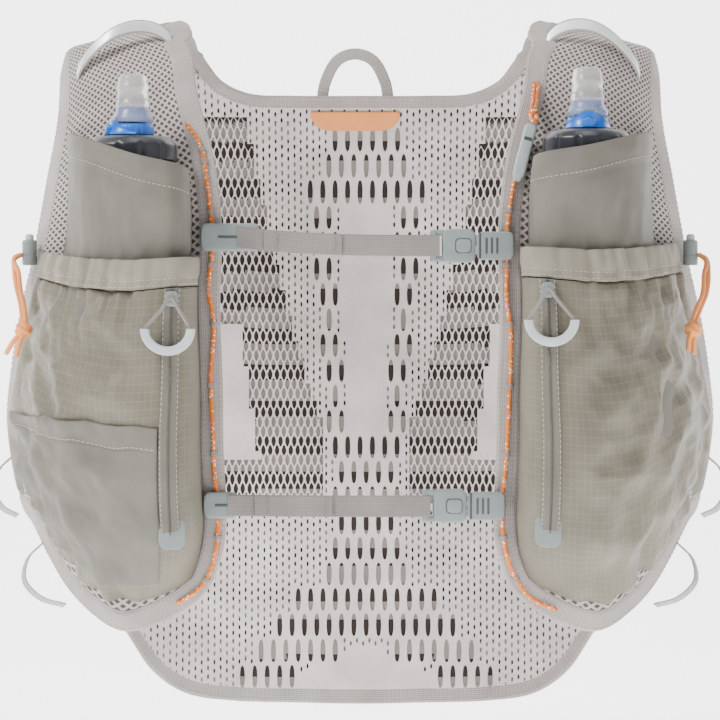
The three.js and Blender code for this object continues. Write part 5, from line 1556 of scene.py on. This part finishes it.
@dataclass
class Front(Maker):
    """One front: its panel, tapes, pockets, zip, flask, cord lock and lace.

    Attributes:
        shop: Where its pieces are made.
        plan: What is its own.
        cargo_depth: How far the cargo pocket stands forward.
        bottle_depth: How far the bottle pocket does.
        flask_out: The flask's distance from the vest's middle.
        flask_reach: How far forward the flask's lower half stands.
        flask_height: Its height without the cap.
        cap_height: The cap's height.
        seed: Start of its folds' waves.
    """

    shop: Workshop
    plan: FrontPlan
    cargo_depth: float = 55.0
    bottle_depth: float = 61.0
    flask_out: float = 131.5
    flask_reach: float = 117.5
    flask_height: float = 178.0
    cap_height: float = 15.0
    seed: float = field(init=False)

    def __post_init__(self) -> None:
        """Give each side folds of its own."""
        self.seed = 0.0 if self.plan.side is Side.LEFT else 1.7

    @property
    def word(self) -> str:
        """The side's name."""
        return self.plan.side.word

    @property
    def way(self) -> int:
        """-1 on the left, 1 on the right."""
        return self.plan.side.value

    def panel(self, u: Array, v: Array) -> Array:
        """Spots on this front's panel."""
        return on_side(self.plan.side, front_patch(u, v))

    def pocket(
        self, section: tuple, fullness: tuple, depth: float, lift: float, spot: Array, across: Array,
        down: Array,
    ) -> Array:
        """A pocket's wall.

        Formula: the panel's place, moved forward by depth times the fullness down the pocket times
        the section's reach across it, and sideways by its lean.
        """
        point = TORSO.lifted(spot, np.full(spot.shape[:-1], lift))
        reach = depth * track(fullness, 1)(down)
        point[..., 1] -= reach * track(section, 1)(across)
        point[..., 0] += self.way * reach * track(section, 2)(across)
        return point

    @staticmethod
    def normals(grid: Array) -> Array:
        """A grid's directions off its surface, on the side that looks forward."""
        normal = unit(np.cross(np.gradient(grid, axis=0), np.gradient(grid, axis=1)))
        return -normal if normal[..., 1].mean() > 0 else normal

    def seams(
        self, name: str, grid: Array, lift: float, lines: Sequence[tuple], slot: str, gap: float = 1.0,
        thick: float = 0.5,
    ) -> None:
        """Rows of stitches over a pocket's wall.

        Args:
            name: The piece's whole name.
            grid: The wall.
            lift: Height of the thread's middle over it.
            lines: Row and column of each line, one of them a slice.
            slot: A material slot's name.
            gap: Distance between stitches.
            thick: Thread thickness.
        """
        face, normal = self.raised(grid, lift), self.normals(grid)
        rows = [stitches(face[line], normal[line], 2.0, gap, thick) for line in lines]
        self.shop.piece(name, Shape.joined(*rows), OLIVE_THREAD, slot)

    def cargo_spot(self, across: Array, down: Array) -> Array:
        """Spots under the cargo pocket."""
        foot = mix(*self.plan.hem_foot, across) + 0.0022
        return self.panel(mix(0.012, 0.94, across), mix(foot, 0.985, down))

    def cargo_grid(self, across: Array, down: Array, folds: bool = True) -> Array:
        """The cargo pocket's wall, with its folds.

        Formula: pleats under the hem fade downwards, puckers fade upwards from the bottom seam, and
        two long slanting waves with a share of cross waves stand for the loose cloth between.
        """
        across, down = np.broadcast_arrays(across, down)
        grid = self.pocket(
            CARGO_SECTION, CARGO_FULLNESS, self.cargo_depth, 2.5, self.cargo_spot(across, down),
            across, down,
        )
        if not folds:
            return grid
        s = self.seed
        loose = np.clip((across - 0.17) / 0.12, 0, 1) * np.clip((0.985 - across) / 0.06, 0, 1)
        pleats = np.exp(-(down / 0.16) ** 2) * (
            0.75 * np.cos(TAU * 9 * across + s) + 0.45 * np.cos(TAU * 15 * across + 2 * s + 3 * down)
        )
        puckers = np.exp(-(((1 - down) / 0.14) ** 2)) * (
            0.8 * np.cos(TAU * 8 * across + 1 + s) + 0.4 * np.cos(TAU * 14 * across + s)
        )
        waves = 0.9 * np.sin(TAU * (1.7 * across + 0.9 * down) + s) * np.sin(np.pi * down)
        waves += 0.5 * np.sin(TAU * (3.1 * across - 1.6 * down) + 2 + s) * np.sin(np.pi * down)
        creases = crumple(across * PLEAT_LENGTHS[0], down * PLEAT_LENGTHS[1], 3 + self.way) * 3.6
        height = (pleats * 1.9 + puckers * 1.7 + waves + creases - 0.6) * loose * 0.85
        return self.raised(grid, height)

    def raised(self, grid: Array, height: Array | float) -> Array:
        """A grid moved away from the body by a height."""
        return grid + self.normals(grid) * np.broadcast_to(height, grid.shape[:2])[..., None]

    def panels(self) -> None:
        """The shoulder mesh, the side panel and the tapes on their edges."""
        side = self.plan.side
        grid = TORSO.lifted(self.panel(*spread(61, 131)), 0)
        grid[..., 1] -= RIDGE_SHIFT
        mesh = self.make("front_mesh", surface(grid), MESH, "shoulder_mesh", "front_panel", wall=1.4)
        self.shop.sheet(mesh, grid, "stretched")
        grid = TORSO.lifted(on_side(side, side_patch(*spread(41, 41, (0.025, 0.975), (0.002, 0.98)))), 0)
        flank = self.make("side_knit", surface(grid), KNIT, "spacer_knit", "side_panel", wall=1.4)
        self.shop.sheet(flank, grid, "stretched")
        edge = on_side(side, FRONT_SEAM.at(np.linspace(0.012, OUTER_CORNER - 0.002, 260)))
        tape = band(edge, 11, self.way, 2.5).moved(y=-RIDGE_SHIFT)
        self.make("placket_tape", tape, BINDING, "binding_tape", "placket")
        parts = (
            (FRONT_SEAM, 0.998, ARMHOLE_FOOT, 90), (SIDE_SEAM, 0.02, 0.98, 40),
            (BACK_SEAM, SIDE_TOP, 0.003, 90),
        )
        ring = on_side(side, np.vstack([seam.at(np.linspace(a, b, n)) for seam, a, b, n in parts]))
        tape = band(ring, 9, -self.way, 2.7, start=-6.5, ring=True)
        self.make("armhole_tape", tape, BINDING, "binding_tape", "armhole_binding")
        rows = [
            edge_stitches(line, turn, reach, 1.22, shift, 2.2)
            for line, turn, reach, shift in (
                (edge, self.way, 9.4, -RIDGE_SHIFT), (edge, self.way, 0.4, -RIDGE_SHIFT),
                (ring, -self.way, 7.6, 0.0), (ring, -self.way, -5.2, 0.0),
            )
        ]
        self.make("front_tape_stitches", Shape.joined(*rows), THREAD, "binding_tape")

    def bottle_pocket(self) -> None:
        """The stretch pocket round the flask, with its folded mouth and stretch creases."""
        across, down = spread(101, 111)
        blend = np.minimum(3 * down, 1)
        u = mix(mix(0.04, 0.05, blend), mix(0.84, 0.74, blend), across)
        v = mix(mix(*self.plan.mouth, across), 0.85, down)
        grid = self.pocket(
            BOTTLE_SECTION, BOTTLE_FULLNESS, self.bottle_depth, 2.0, self.panel(u, v), across, down
        )
        s = self.seed
        edge = np.exp(-(((1 - across) / 0.2) ** 2)) + np.exp(-((across / 0.12) ** 2))
        creases = 0.5 * np.sin(TAU * (9 * down + 2.2 * across) + s) * edge
        creases += 0.35 * np.sin(TAU * (14 * down - 1.5 * across) + 2 * s) * edge
        fold = 1.1 * np.exp(-(((down - 0.045) / 0.03) ** 2)) - 0.5 * np.exp(-(((down - 0.1) / 0.012) ** 2))
        creases += crumple(across * 150, down * 165, 7 + self.way) * 1.9
        height = fold * 0.7 + creases * np.sin(np.pi * np.clip(down * 1.1, 0, 1)) * 0.9
        cloth = self.raised(grid, height * np.clip(across / 0.03, 0, 1) * np.clip((1 - across) / 0.03, 0, 1))
        pocket = self.make(
            "bottle_pocket_cloth", surface(cloth), STRETCH, "stretch_woven",
            "bottle_pocket", wall=1.0,
        )
        self.shop.sheet(pocket, cloth, "stretched")
        mouth = [np.s_[9, 2:-2]]
        self.seams(f"bottle_pocket_stitches_{self.word}", cloth, 0.62, mouth, "stretch_woven", 0.9)

    def cargo_pocket(self) -> None:
        """The ripstop pocket with its gathered hem and stitch rows."""
        grid = self.cargo_grid(*spread(151, 121))
        pocket = self.make(
            "cargo_pocket_cloth", surface(grid), RIPSTOP, "ripstop",
            "cargo_pocket", wall=0.9,
        )
        self.shop.sheet(pocket, grid, "gathered")
        across, down = spread(221, 15)
        plan = self.plan
        v = mix(mix(*plan.hem_top, across), mix(*plan.hem_foot, across), down)
        full = ((0, 1), (1, 1))
        hem = self.pocket(
            CARGO_SECTION, full, self.cargo_depth, 2.5, self.panel(mix(0.012, 0.94, across), v), across,
            down,
        )
        loose = np.clip((across - 0.05) / 0.3, 0, 1) * np.clip((0.99 - across) / 0.05, 0, 1)
        pleat = np.cos(TAU * 9 * across) * 0.75 + np.cos(TAU * 17 * across + 2 * self.seed) * 0.45
        tuck = -0.5 * np.exp(-(((down - 0.72) / 0.06) ** 2)) - 0.5 * np.exp(-(((down - 0.9) / 0.05) ** 2))
        puff = 0.5 * np.sin(np.pi * np.clip(down / 0.72, 0, 1))
        creases = crumple(across * 190, down * 24, 11 + self.way) * 1.5
        hem = self.raised(hem, (pleat * 1.6 + creases) * loose * 0.9 + (tuck + puff) * 0.9)
        band_piece = self.make("pocket_hem_band", surface(hem), HEM, "ripstop", "pocket_hem", wall=1.7)
        self.shop.sheet(band_piece, hem, "gathered")
        rows = [np.s_[j, 3:-3] for j in (10, 13)]
        self.seams(f"pocket_hem_stitches_{self.word}", hem, 0.9, rows, "ripstop", thick=0.55)

    def zip(self) -> None:
        """The zip: a raised tape with piped edges, its coil, slider, garage and grip."""
        across, down = spread(25, 120, (0.093, 0.147), (0, 0.79))
        grid = self.raised(self.cargo_grid(across, down, folds=False), 1.75)
        share = np.linspace(-1, 1, 25)[None]
        piping = 0.45 * np.exp(-(((np.abs(share) - 0.72) / 0.16) ** 2))
        groove = 0.25 * np.exp(-((share / 0.12) ** 2))
        tape = self.raised(grid, piping - groove + 0.5 * (1 - share**2))
        self.make("zip_tape_cloth", surface(tape), STRETCH, "ripstop", "zip_tape", wall=0.9)
        teeth = stitches(self.raised(tape, 0.55)[:, 12], self.normals(tape)[:, 12], 1.0, 0.35, 1.5)
        self.make("zip_coil", teeth, ZIP, "ripstop")
        self.seams(f"zip_stitches_{self.word}", tape, 0.5, [np.s_[:, i] for i in (2, 22)], "ripstop")
        low = tape[-1, 12]
        garage = slab(15, 19, 1.4, 5, 0.5).moved(low[0] - self.way * 1, low[1] - 0.7, low[2] + 1)
        self.make("zip_garage", garage, ACETAL, "ripstop")
        x, y, z = ZIP_SLIDERS[self.plan.side]
        body = slab(7.3, 8.8, 2.8, 2.6, 0.7, 0.25)
        bridge = slab(2.6, 6.4, 1.4, 1.2, 0.5).moved(y=-1.5)
        slider = Shape.joined(body, bridge).moved(x, y, z)
        self.make("zip_slider_body", slider, ACETAL, "acetal", "zip_slider")
        anchor = np.array([x, y - 3.1, z])
        turn = np.linspace(-0.5 * np.pi, 0.5 * np.pi, 25)
        low_z = anchor[2] - 17
        arc = np.stack(
            [anchor[0] + 13 * np.sin(turn) + self.way * 2, 0 * turn + anchor[1], low_z - 12.5 * np.cos(turn)],
            1,
        )
        front = np.array([0, -1.0, 0])
        grip = strap(arc, np.stack([np.sin(turn), 0 * turn, -np.cos(turn)], 1), 5.2, 4.2)
        held = self.make("zip_grip", grip, PALE, "pale_plastic", "zip_pull")
        over = anchor + [0, 0.1, 0.6]
        line = smooth_line([arc[0], mix(arc[0], over, 0.6), over, mix(arc[-1], over, 0.6), arc[-1]], 38)
        cord = self.make("zip_cord", tube(line, 1.1, 10, front), WEBBING, "pale_plastic")
        self.shop.cord(cord, line, 0.0022, "fitting", "medium", "hanging", [held])

    def stretch_pocket(self) -> None:
        """The lower outer pocket on the left, left bare of its print."""
        across, share = spread(91, 81, (0.152, 0.885))
        top = track(STRETCH_TOP, 1)(across)
        down = top + (0.945 - top) * share
        base = self.cargo_grid(across, down)
        wide, high = PLEAT_LENGTHS
        hang = np.exp(-((share / 0.08) ** 2)) * 0.7 + 0.8 * crumple(across * wide, down * high, 23)
        cloth = self.raised(base, 1.5 + hang)
        pocket = self.shop.piece(
            "stretch_pocket_cloth", surface(cloth), STRETCH, "stretch_woven", ["stretch_pocket"], wall=0.9
        )
        self.shop.sheet(pocket, cloth, "stretched")
        hem = self.raised(cloth[:13], 0.6 + 0.35 * np.sin(np.linspace(0, np.pi, 13))[:, None])
        self.shop.piece(
            "stretch_pocket_hem_band", surface(hem), STRETCH, "stretch_woven", ["stretch_pocket_hem"],
            wall=0.9,
        )
        self.seams("stretch_pocket_stitches", hem, 0.55, [np.s_[11, 1:-1]], "stretch_woven")

    def flask(self) -> None:
        """The soft flask with its ribbed cap, dial and bite valve.

        Formula: each level of the film is a superellipse, dented by a wave down the flask.
        """
        base = -(self.plan.cap_top * TORSO.length + self.cap_height)
        axis = (self.way * self.flask_out, -self.flask_reach * FLASK_ROWS[-1][3])
        rise = np.linspace(0, 1, 91)
        turn = np.linspace(0, 2 * np.pi, 72, endpoint=False)
        wide = track(FLASK_ROWS, 1)(rise)[:, None] * FLASK_HALF[0]
        thick = track(FLASK_ROWS, 2)(rise)[:, None] * FLASK_HALF[1]
        reach = track(FLASK_ROWS, 3)(rise)[:, None] * self.flask_reach
        dent = 0.5 * np.sin(6.3 * rise * 2.2 + self.seed)[:, None] * np.cos(2 * turn)[None]
        grid = np.stack(
            [
                axis[0] + (wide + dent * 0.6 - 0.3) * signed_power(np.cos(turn), 0.8)[None],
                -reach + (thick + dent * 0.4 - 0.3) * signed_power(np.sin(turn), 0.8)[None],
                np.broadcast_to((base - 0.4 - self.flask_height * (1 - rise))[:, None], (91, 72)),
            ],
            -1,
        )
        body = surface(grid, wrap_columns=True)
        body.faces += [np.arange(72), 90 * 72 + np.arange(72)[::-1]]
        body.faces = [f[::-1] for f in body.faces]
        self.make("flask_film", body, FILM, "flask_film", "flask_body")
        cap = lathe(CAP_PROFILE, 360, 12, 0.9).moved(*axis, base)
        self.make("flask_cap_turned", cap, CAP, "cap_plastic", "flask_cap", sharp=50)
        top = base + self.cap_height
        self.make(
            "valve_dial_moulded", self.dial().moved(*axis, top + 0.3), BLUE, "blue_plastic", "valve_dial",
            body=f"dial_{self.word}", sharp=35,
        )
        core = lathe(CORE_PROFILE, 64).moved(*axis, top + 8.4)
        self.make("valve_core", core, BLUE, "silicone")
        valve = lathe(BITE_PROFILE, 96).moved(*axis, top + 7.9)
        self.make("bite_valve_cast", valve, SILICONE, "silicone", "bite_valve", sharp=50)

    def dial(self) -> Shape:
        """The ribbed ring and its lever, whose hood hugs the ring and peaks over the lug."""
        turn = self.plan.dial_turn
        ring = lathe(DIAL_PROFILE, 144, 24, 0.35)
        lever = slab(9, 8, 5.3, 3, 0.9, 0.1).turned(0, -90).moved(11.9, 0, 2.75).turned(2, turn)
        collar = slab(5, 3, 1.0, 1.2, 0.4).turned(0, -90).moved(13.5, 0, 5.6).turned(2, turn)
        sweep = np.radians(np.linspace(-82, 82, 49))[None]
        up = np.linspace(0, 1, 13)[:, None]
        peak = 1.6 + 7.4 * np.cos(sweep * 90 / 82) ** 2
        flare = 13.3 + 2.3 * (1 - up) ** 2 * np.cos(sweep * 0.9) ** 0.5
        hood, inner = (
            surface(np.stack([far * np.cos(sweep), far * np.sin(sweep), 0.4 + high * up], -1))
            for far, high in ((flare, peak), (flare - 1.0, peak - 0.4))
        )
        hood, inner = hood.turned(2, turn), inner.turned(2, turn)
        count, columns = hood.verts.shape[0], 49
        loop = np.concatenate(
            [
                np.arange(columns), np.arange(1, 13) * columns + columns - 1,
                12 * columns + np.arange(columns - 2, -1, -1), np.arange(11, 0, -1) * columns,
            ]
        )
        shell = Shape.joined(hood, Shape(inner.verts, [f[::-1] for f in inner.faces], inner.uv))
        after = np.roll(loop, -1)
        shell.faces += list(np.stack([after, loop, loop + count, after + count], 1))
        return Shape.joined(ring, lever, collar, shell)

    def cord_lock(self) -> None:
        """The spring lock at the hem's outer end, with its elastic drawcord."""
        axis = (self.way * 196.3, -51.0, -150.8)
        barrel = lathe(BARREL_PROFILE, 64).moved(*axis)
        self.make("cord_lock_housing", barrel, ACETAL, "acetal", "cord_lock_barrel", sharp=35)
        button = lathe(BUTTON_PROFILE, 48).moved(*axis)
        self.make(
            "cord_lock_plunger", button, PALE, "acetal",
            "cord_lock_button", body=f"button_{self.word}", sharp=35,
        )
        ends = []
        for tag, rows in zip("ab", self.plan.elastic):
            line = smooth_line([(x, y, -drop) for x, y, drop in rows], 36)
            strand = tube(line, 1.45, 12, np.array([0, 1.0, 0.3]))
            piece = self.shop.piece(
                f"elastic_strand_{self.word}_{tag}", strand, ELASTIC, "elastic",
                [f"elastic_cord_{self.word}"] if tag == "a" else (),
            )
            ends.append((piece, line))
        knot_at = np.array([rows[6] for rows in self.plan.elastic]).sum(0) / 2 * [1, 1, -1]
        knot = ball(knot_at, (5.0, 4.4, 4.7), 0.12, self.seed)
        lump = self.make("elastic_knot", knot, ELASTIC, "elastic")
        for (piece, line), partners in zip(ends, ([lump], ())):
            self.shop.cord(piece, line, 0.0029, "bare", "medium", "hanging", partners)

    def lace(self) -> None:
        """The braided lace that carries the sternum straps, and the tacks that hold it."""
        rows = np.array(self.plan.lace, float)
        flat = smooth_line(rows, 38)
        line = on_front(flat[:, 0], flat[:, 1], LACE_LIFT)
        line = even(smooth_line(line, 300), 220)
        up = TORSO.outward(TORSO.front(line[:, 0], line[:, 2]))
        piece = self.make("edge_lace_braid", tube(line, 1.25, 14, up), LACE, "lace", "edge_lace")
        self.shop.cord(piece, line, 0.0025, "bare", "limp", "taut")
        tacks = []
        for drop in (84, 92, 121, 152, 187, 222, 261, 309, 334):
            k = int(np.argmin(np.abs(line[:, 2] + drop)))
            run, out = unit(line[k + 1] - line[k - 1]), up[k]
            over = np.cross(run, out)
            turn = np.linspace(-0.15 * np.pi, 1.15 * np.pi, 15)
            arch = line[k] + over * (np.cos(turn) * 1.9)[:, None] + out * (np.sin(turn) * 1.75 - 0.4)[:, None]
            for shift in (-0.9, 0, 0.9):
                tacks.append(tube(arch + run * shift, 0.42, 8, run))
        self.make("lace_tacks", Shape.joined(*tacks), DARK_THREAD, "binding_tape")

    def shoulder_loop(self) -> None:
        """The reflective ribbon that stands over the shoulder."""
        start, end, rise = {Side.LEFT: (-113, -168, 11), Side.RIGHT: (112, 166, 12)}[self.plan.side]
        share = np.linspace(0, 1, 61)
        arch = np.sin(np.pi * share) ** 0.6
        x = mix(start, end, share)
        z = -0.041 * TORSO.length * share - 15 * (1 - 0.45 * arch)
        upper = TORSO.lifted(TORSO.front(x, z), np.full(61, 1.8))
        upper[:, 1] -= rise * arch * 0.5 + RIDGE_SHIFT
        upper[:, 2] += rise * arch
        lower = upper + np.array([0, -3.2, -8.2])
        centre = (upper + lower) / 2
        across = lower - upper
        width = np.linalg.norm(across, axis=1)
        body = strap(centre, across, width, 1.3)
        piece = self.make("shoulder_loop_ribbon", body, BINDING, "reflective_tape", "shoulder_loop")
        normal = unit(np.cross(np.gradient(centre, axis=0), across))
        normal *= np.where(normal[:, 1:2] > 0, -1, 1)
        face = strap(centre + normal * 0.72, across, width * 0.72, 0.5)
        self.make("shoulder_loop_face", face, REFLECTIVE, "reflective_tape")

    def build(self) -> None:
        """Make every piece of this front."""
        self.panels()
        self.bottle_pocket()
        self.cargo_pocket()
        self.zip()
        if self.plan.side is Side.LEFT:
            self.stretch_pocket()
        self.flask()
        self.cord_lock()
        self.lace()
        self.shoulder_loop()


# ---------------------------------------------------------------- straps and small parts


@dataclass(frozen=True)
class StrapPlan:
    """A sternum strap: its hook, buckle and webbing.

    Attributes:
        name: Upper or lower.
        drop: Height of the buckle, in millimetres below the shoulders.
        hook: The hook's x, drop, width and height.
        buckle: Where socket and plug meet.
    """

    name: str
    drop: float
    hook: tuple[float, float, float, float]
    buckle: float


STRAPS = (
    StrapPlan("upper", 141, (-75, 136, 34, 16), 67),
    StrapPlan("lower", 291, (-80, 290.5, 20, 15), 61.5),
)


@dataclass
class Sternum(Maker):
    """One sternum strap."""

    shop: Workshop
    plan: StrapPlan

    @property
    def word(self) -> str:
        """Upper or lower."""
        return self.plan.name

    def webbing(self, y: float) -> None:
        """The webbing with its folded end and the tacks through it; y is its depth."""
        p = self.plan
        share = np.linspace(0, 1, 61)
        path = np.stack(
            [
                mix(p.hook[0] + 4, p.buckle - 21, share), y - 1.2 * np.sin(np.pi * share),
                -p.drop + (1 - share) ** 3 * (p.drop - p.hook[1]),
            ],
            1,
        )
        webbing = strap(path, np.array([0, 0, 1.0]), 12.4, 1.4)
        piece = self.make("sternum_webbing_woven", webbing, WEBBING, "grey_webbing", "sternum_webbing")
        flap = path[8:32].copy()
        flap[:, 1] -= 1.45
        fold = strap(flap, np.array([0, 0, 1.0]), 12.3, 1.2)
        second = self.make("sternum_webbing_flap", fold, WEBBING, "grey_webbing")
        bars = []
        for k in (12, 29):
            zig = np.linspace(-5, 5, 12)
            across = path[k, 0] + 0.7 * (-1.0) ** np.arange(12)
            line = np.stack([across, np.full(12, path[k, 1] - 2.1), path[k, 2] + zig], 1)
            bars.append(stitches(line, np.tile([0, -1.0, 0], (12, 1)), 1.0, 0.05, 0.6))
        self.make("sternum_tacks", Shape.joined(*bars), DARK_THREAD, "grey_webbing")

    def hook(self, y: float) -> None:
        """The hook on the left lace, in front of the webbing's depth y."""
        x, drop, width, height = self.plan.hook
        hook = slab(width, height, 6.8, 3.6, 1.3, 0.3)
        groove = slab(width * 0.5, 1.6, 0.8, 0.7, 0.25).moved(1.5, -3.75, 0)
        middle = y + 3.5
        self.make(
            "sternum_hook_moulded", hook.moved(x, middle, -drop), ACETAL, "acetal",
            "sternum_hook", sharp=30,
        )
        self.make("sternum_hook_slot", groove.moved(x, middle, -drop), DARK_ACETAL, "acetal", sharp=30)
        lip = slab(4, height * 0.55, 7.2, 1.6, 0.8).moved(x - width / 2 + 2, middle + 0.2, -drop)
        self.make("sternum_hook_lip", lip, ACETAL, "acetal", sharp=30)

    def buckle(self, y: float) -> None:
        """The buckle's socket and plug, clicked together, round the webbing's depth y."""
        p, z = self.plan, -self.plan.drop
        bar = slab(3.6, 18.4, 7.6, 1.6, 1.1, 0.15).moved(p.buckle - 24.2, y + 4, z)
        shell = slab(19.6, 19.3, 7.7, 4.2, 1.5, 0.35).moved(p.buckle - 9.9, y + 4, z)
        rails = [slab(6.5, 3.2, 6.8, 1.3, 0.9).moved(p.buckle - 21.6, y + 4, z + s * 7.6) for s in (-1, 1)]
        self.make(
            "buckle_socket_moulded", Shape.joined(bar, shell, *rails), ACETAL, "acetal",
            "buckle_socket", sharp=30,
        )
        window = slab(9.5, 8.6, 0.6, 2.2, 0.2).moved(p.buckle - 7.4, y + 4 - 4.25, z)
        self.make("buckle_window", window, DARK_ACETAL, "acetal", sharp=30)
        tongue = slab(8.6, 7.6, 0.7, 2.2, 0.3, 0.25).moved(p.buckle - 7.2, y + 4 - 4.4, z)
        plate = slab(21.6, 16.3, 6.3, 3.4, 1.3, 0.3).moved(p.buckle + 11.3, y + 3.25, z)
        self.make(
            "buckle_plug_moulded", Shape.joined(plate, tongue), ACETAL, "acetal",
            "buckle_plug", sharp=30,
        )
        ribs = [slab(1.3, 9.5, 1.0, 0.6, 0.4).moved(p.buckle + 6 + 3.1 * k, y + 0.05, z) for k in range(3)]
        jaw = slab(1.2, 15.4, 1.0, 0.5, 0.3).moved(p.buckle + 2.2, y + 0.15, z)
        self.make("buckle_plug_ribs", Shape.joined(*ribs, jaw), DARK_ACETAL, "acetal", sharp=30)

    def build(self) -> None:
        """Make every piece of this strap."""
        y = float(on_front(-82.0, self.plan.drop, 8.5)[1])
        self.webbing(y)
        self.hook(y)
        self.buckle(y)


@dataclass
class SmallParts:
    """The side loops and the whistle on its cord."""

    shop: Workshop

    def side_loops(self) -> None:
        """The four ribbon loops at the lower sides."""
        loops = {
            "upper": ((211, 266, -12), (218, 273, -13), (221, 285, -15), (216, 296, -17), (206.5, 301, -19)),
            "lower": (
                (190, 317, -46), (197.5, 325, -49), (199, 338, -54), (189, 348, -58), (174.5, 352, -62),
            ),
        }
        for side in Side:
            for name, rows in loops.items():
                line = smooth_line([(side.value * x, y, -drop) for x, drop, y in rows], 60)
                ribbon = strap(line, np.array([side.value * 0.4, 1.0, -0.35]), 7.9, 1.2)
                piece = self.shop.piece(
                    f"side_ribbon_{name}_{side.word}", ribbon, BINDING, "grey_webbing",
                    [f"side_loop_{name}_{side.word}"],
                )

    def whistle(self) -> None:
        """The whistle, its doubled cord and the knot."""
        rows = np.array(
            [(103.6, 45, -1.4), (102.4, 53, 0.3), (100.8, 61, 2), (99.4, 67, 5), (98.6, 74, 11)]
        )
        knot_at = on_front(np.array(99.4), np.array(67.0), LACE_LIFT + 6)
        knot = self.shop.piece("whistle_knot", ball(knot_at, (3.0, 2.7, 3.1), 0.12), LACE, "lace")
        strands = [
            on_front(rows[:, 0] + way * 1.15, rows[:, 1], LACE_LIFT + 1 + rows[:, 2]) for way in (-1, 1)
        ]
        loop = np.vstack([strands[0], strands[1][::-1]])
        line = even(smooth_line(loop, 120), 70)
        body = slab(7.3, 33.6, 6.8, 3.0, 1.3, 0.25)
        slot = slab(4.6, 2.2, 0.6, 0.8, 0.2).moved(0, -3.5, 7.0)
        mouth = slab(5.2, 7.5, 5.0, 1.6, 0.9).moved(0, 0, -14.6)
        pieces = [knot]
        for name, shape, finish in (
            ("whistle_body", Shape.joined(body, mouth), WHISTLE), ("whistle_slot", slot, DARK_ACETAL),
        ):
            placed = shape.moved(z=-17).turned(0, -14).turned(1, 15)
            placed.verts = placed.verts + knot_at + [-1.3, -6, -6.9]
            pieces.append(
                self.shop.piece(
                    name, placed, finish, "pale_plastic", ["whistle"] if name == "whistle_body" else (),
                    sharp=30,
                )
            )
        cord = self.shop.piece(
            "whistle_lanyard", tube(line, 1.2, 12, np.array([0.3, 0, 1.0])), LACE, "lace", ["whistle_cord"]
        )
        self.shop.cord(cord, line, 0.0024, "object", "limp", "hanging", pieces)

    def build(self) -> None:
        """Make the small parts."""
        self.side_loops()
        self.whistle()


# ---------------------------------------------------------------- stage


EYE = (0, -2.130, -0.207)  # metres
LENS, SENSOR = 175, 36  # millimetres
PICTURE = 720  # pixels
BACKDROP_RUN = ((-2.4, -0.46), (0.35, -0.46), (0.62, -0.43), (0.82, -0.32), (0.9, -0.1), (0.92, 1.6))
BACKDROP_GLOW = 2.1
AIR_GLOW = 0.22
LIGHTS = (  # name, place and size in metres, power in watts
    ("key", (-1.3, -0.9, 1.3), 0.6, 58),
    ("fill", (1.6, -1.5, 0.2), 1.6, 12),
    ("top", (0.1, -0.2, 1.9), 0.8, 18),
)
LIT_AT = (0, 0, -0.2)  # where the lights point, in metres


def camera() -> None:
    """The photo's viewpoint: level, 2.13 m in front, with a long lens."""
    data = bpy.data.cameras.new("photo_camera")
    data.lens, data.sensor_width = LENS, SENSOR
    data.clip_start, data.clip_end = 0.05, 20
    eye = placed("photo_camera", data)
    eye.location = EYE
    eye.rotation_euler = (math.pi / 2, 0, 0)
    bpy.context.scene.camera = eye
    bpy.context.scene.render.resolution_x = bpy.context.scene.render.resolution_y = PICTURE


def studio() -> None:
    """A pale floor and backdrop under soft, even lights."""
    curve = smooth_line(BACKDROP_RUN, 60)
    grid = np.stack([np.insert(curve, 0, x, axis=1) for x in np.linspace(-2.4, 2.4, 3)])
    mesh = bpy.data.meshes.new("backdrop")
    mesh.from_pydata(grid.reshape(-1, 3).tolist(), [], grid_faces(3, 61, False, False).tolist())
    mesh.polygons.foreach_set("use_smooth", np.ones(len(mesh.polygons), bool))
    material, _, shader = blank("matt_painted_backdrop")
    shader.inputs["Base Color"].default_value = linear("#FBFBFB")
    shader.inputs["Roughness"].default_value = 0.95
    shader.inputs["Emission Color"].default_value = linear("#FFFFFF")
    shader.inputs["Emission Strength"].default_value = BACKDROP_GLOW
    mesh.materials.append(material)
    stage = [placed("backdrop", mesh)]
    for name, place, size, power in LIGHTS:
        data = bpy.data.lights.new(name, "AREA")
        data.energy, data.size = power, size
        lamp = placed(name, data)
        lamp.location = place
        x, y, z = -np.array(place) + np.array(LIT_AT)
        lamp.rotation_euler = (math.atan2(math.hypot(x, y), -z), 0, math.atan2(y, x) - math.pi / 2)
        stage.append(lamp)
    world = bpy.data.worlds.new("studio_air")
    world.use_nodes = True
    world.node_tree.nodes["Background"].inputs[0].default_value = (1, 1, 1, 1)
    world.node_tree.nodes["Background"].inputs[1].default_value = AIR_GLOW
    bpy.context.scene.world = world
    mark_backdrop(*stage)


def main() -> None:
    """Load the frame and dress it."""
    logging.basicConfig(level=logging.INFO, format="%(name)s: %(message)s")
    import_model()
    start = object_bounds()
    shop = Workshop()
    Back(shop).build()
    for plan in (LEFT_PLAN, RIGHT_PLAN):
        Front(shop, plan).build()
    for strap_plan in STRAPS:
        Sternum(shop, strap_plan).build()
    SmallParts(shop).build()
    camera()
    studio()
    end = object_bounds()

    def plain(box: object) -> object:
        """Bounds as lists of numbers."""
        if isinstance(box, dict):
            return {key: plain(value) for key, value in box.items()}
        if hasattr(box, "__len__"):
            return [plain(value) for value in box]
        return float(box)

    {"cad": plain(start), "visual": plain(end)}


if __name__ == "__main__":
    main()
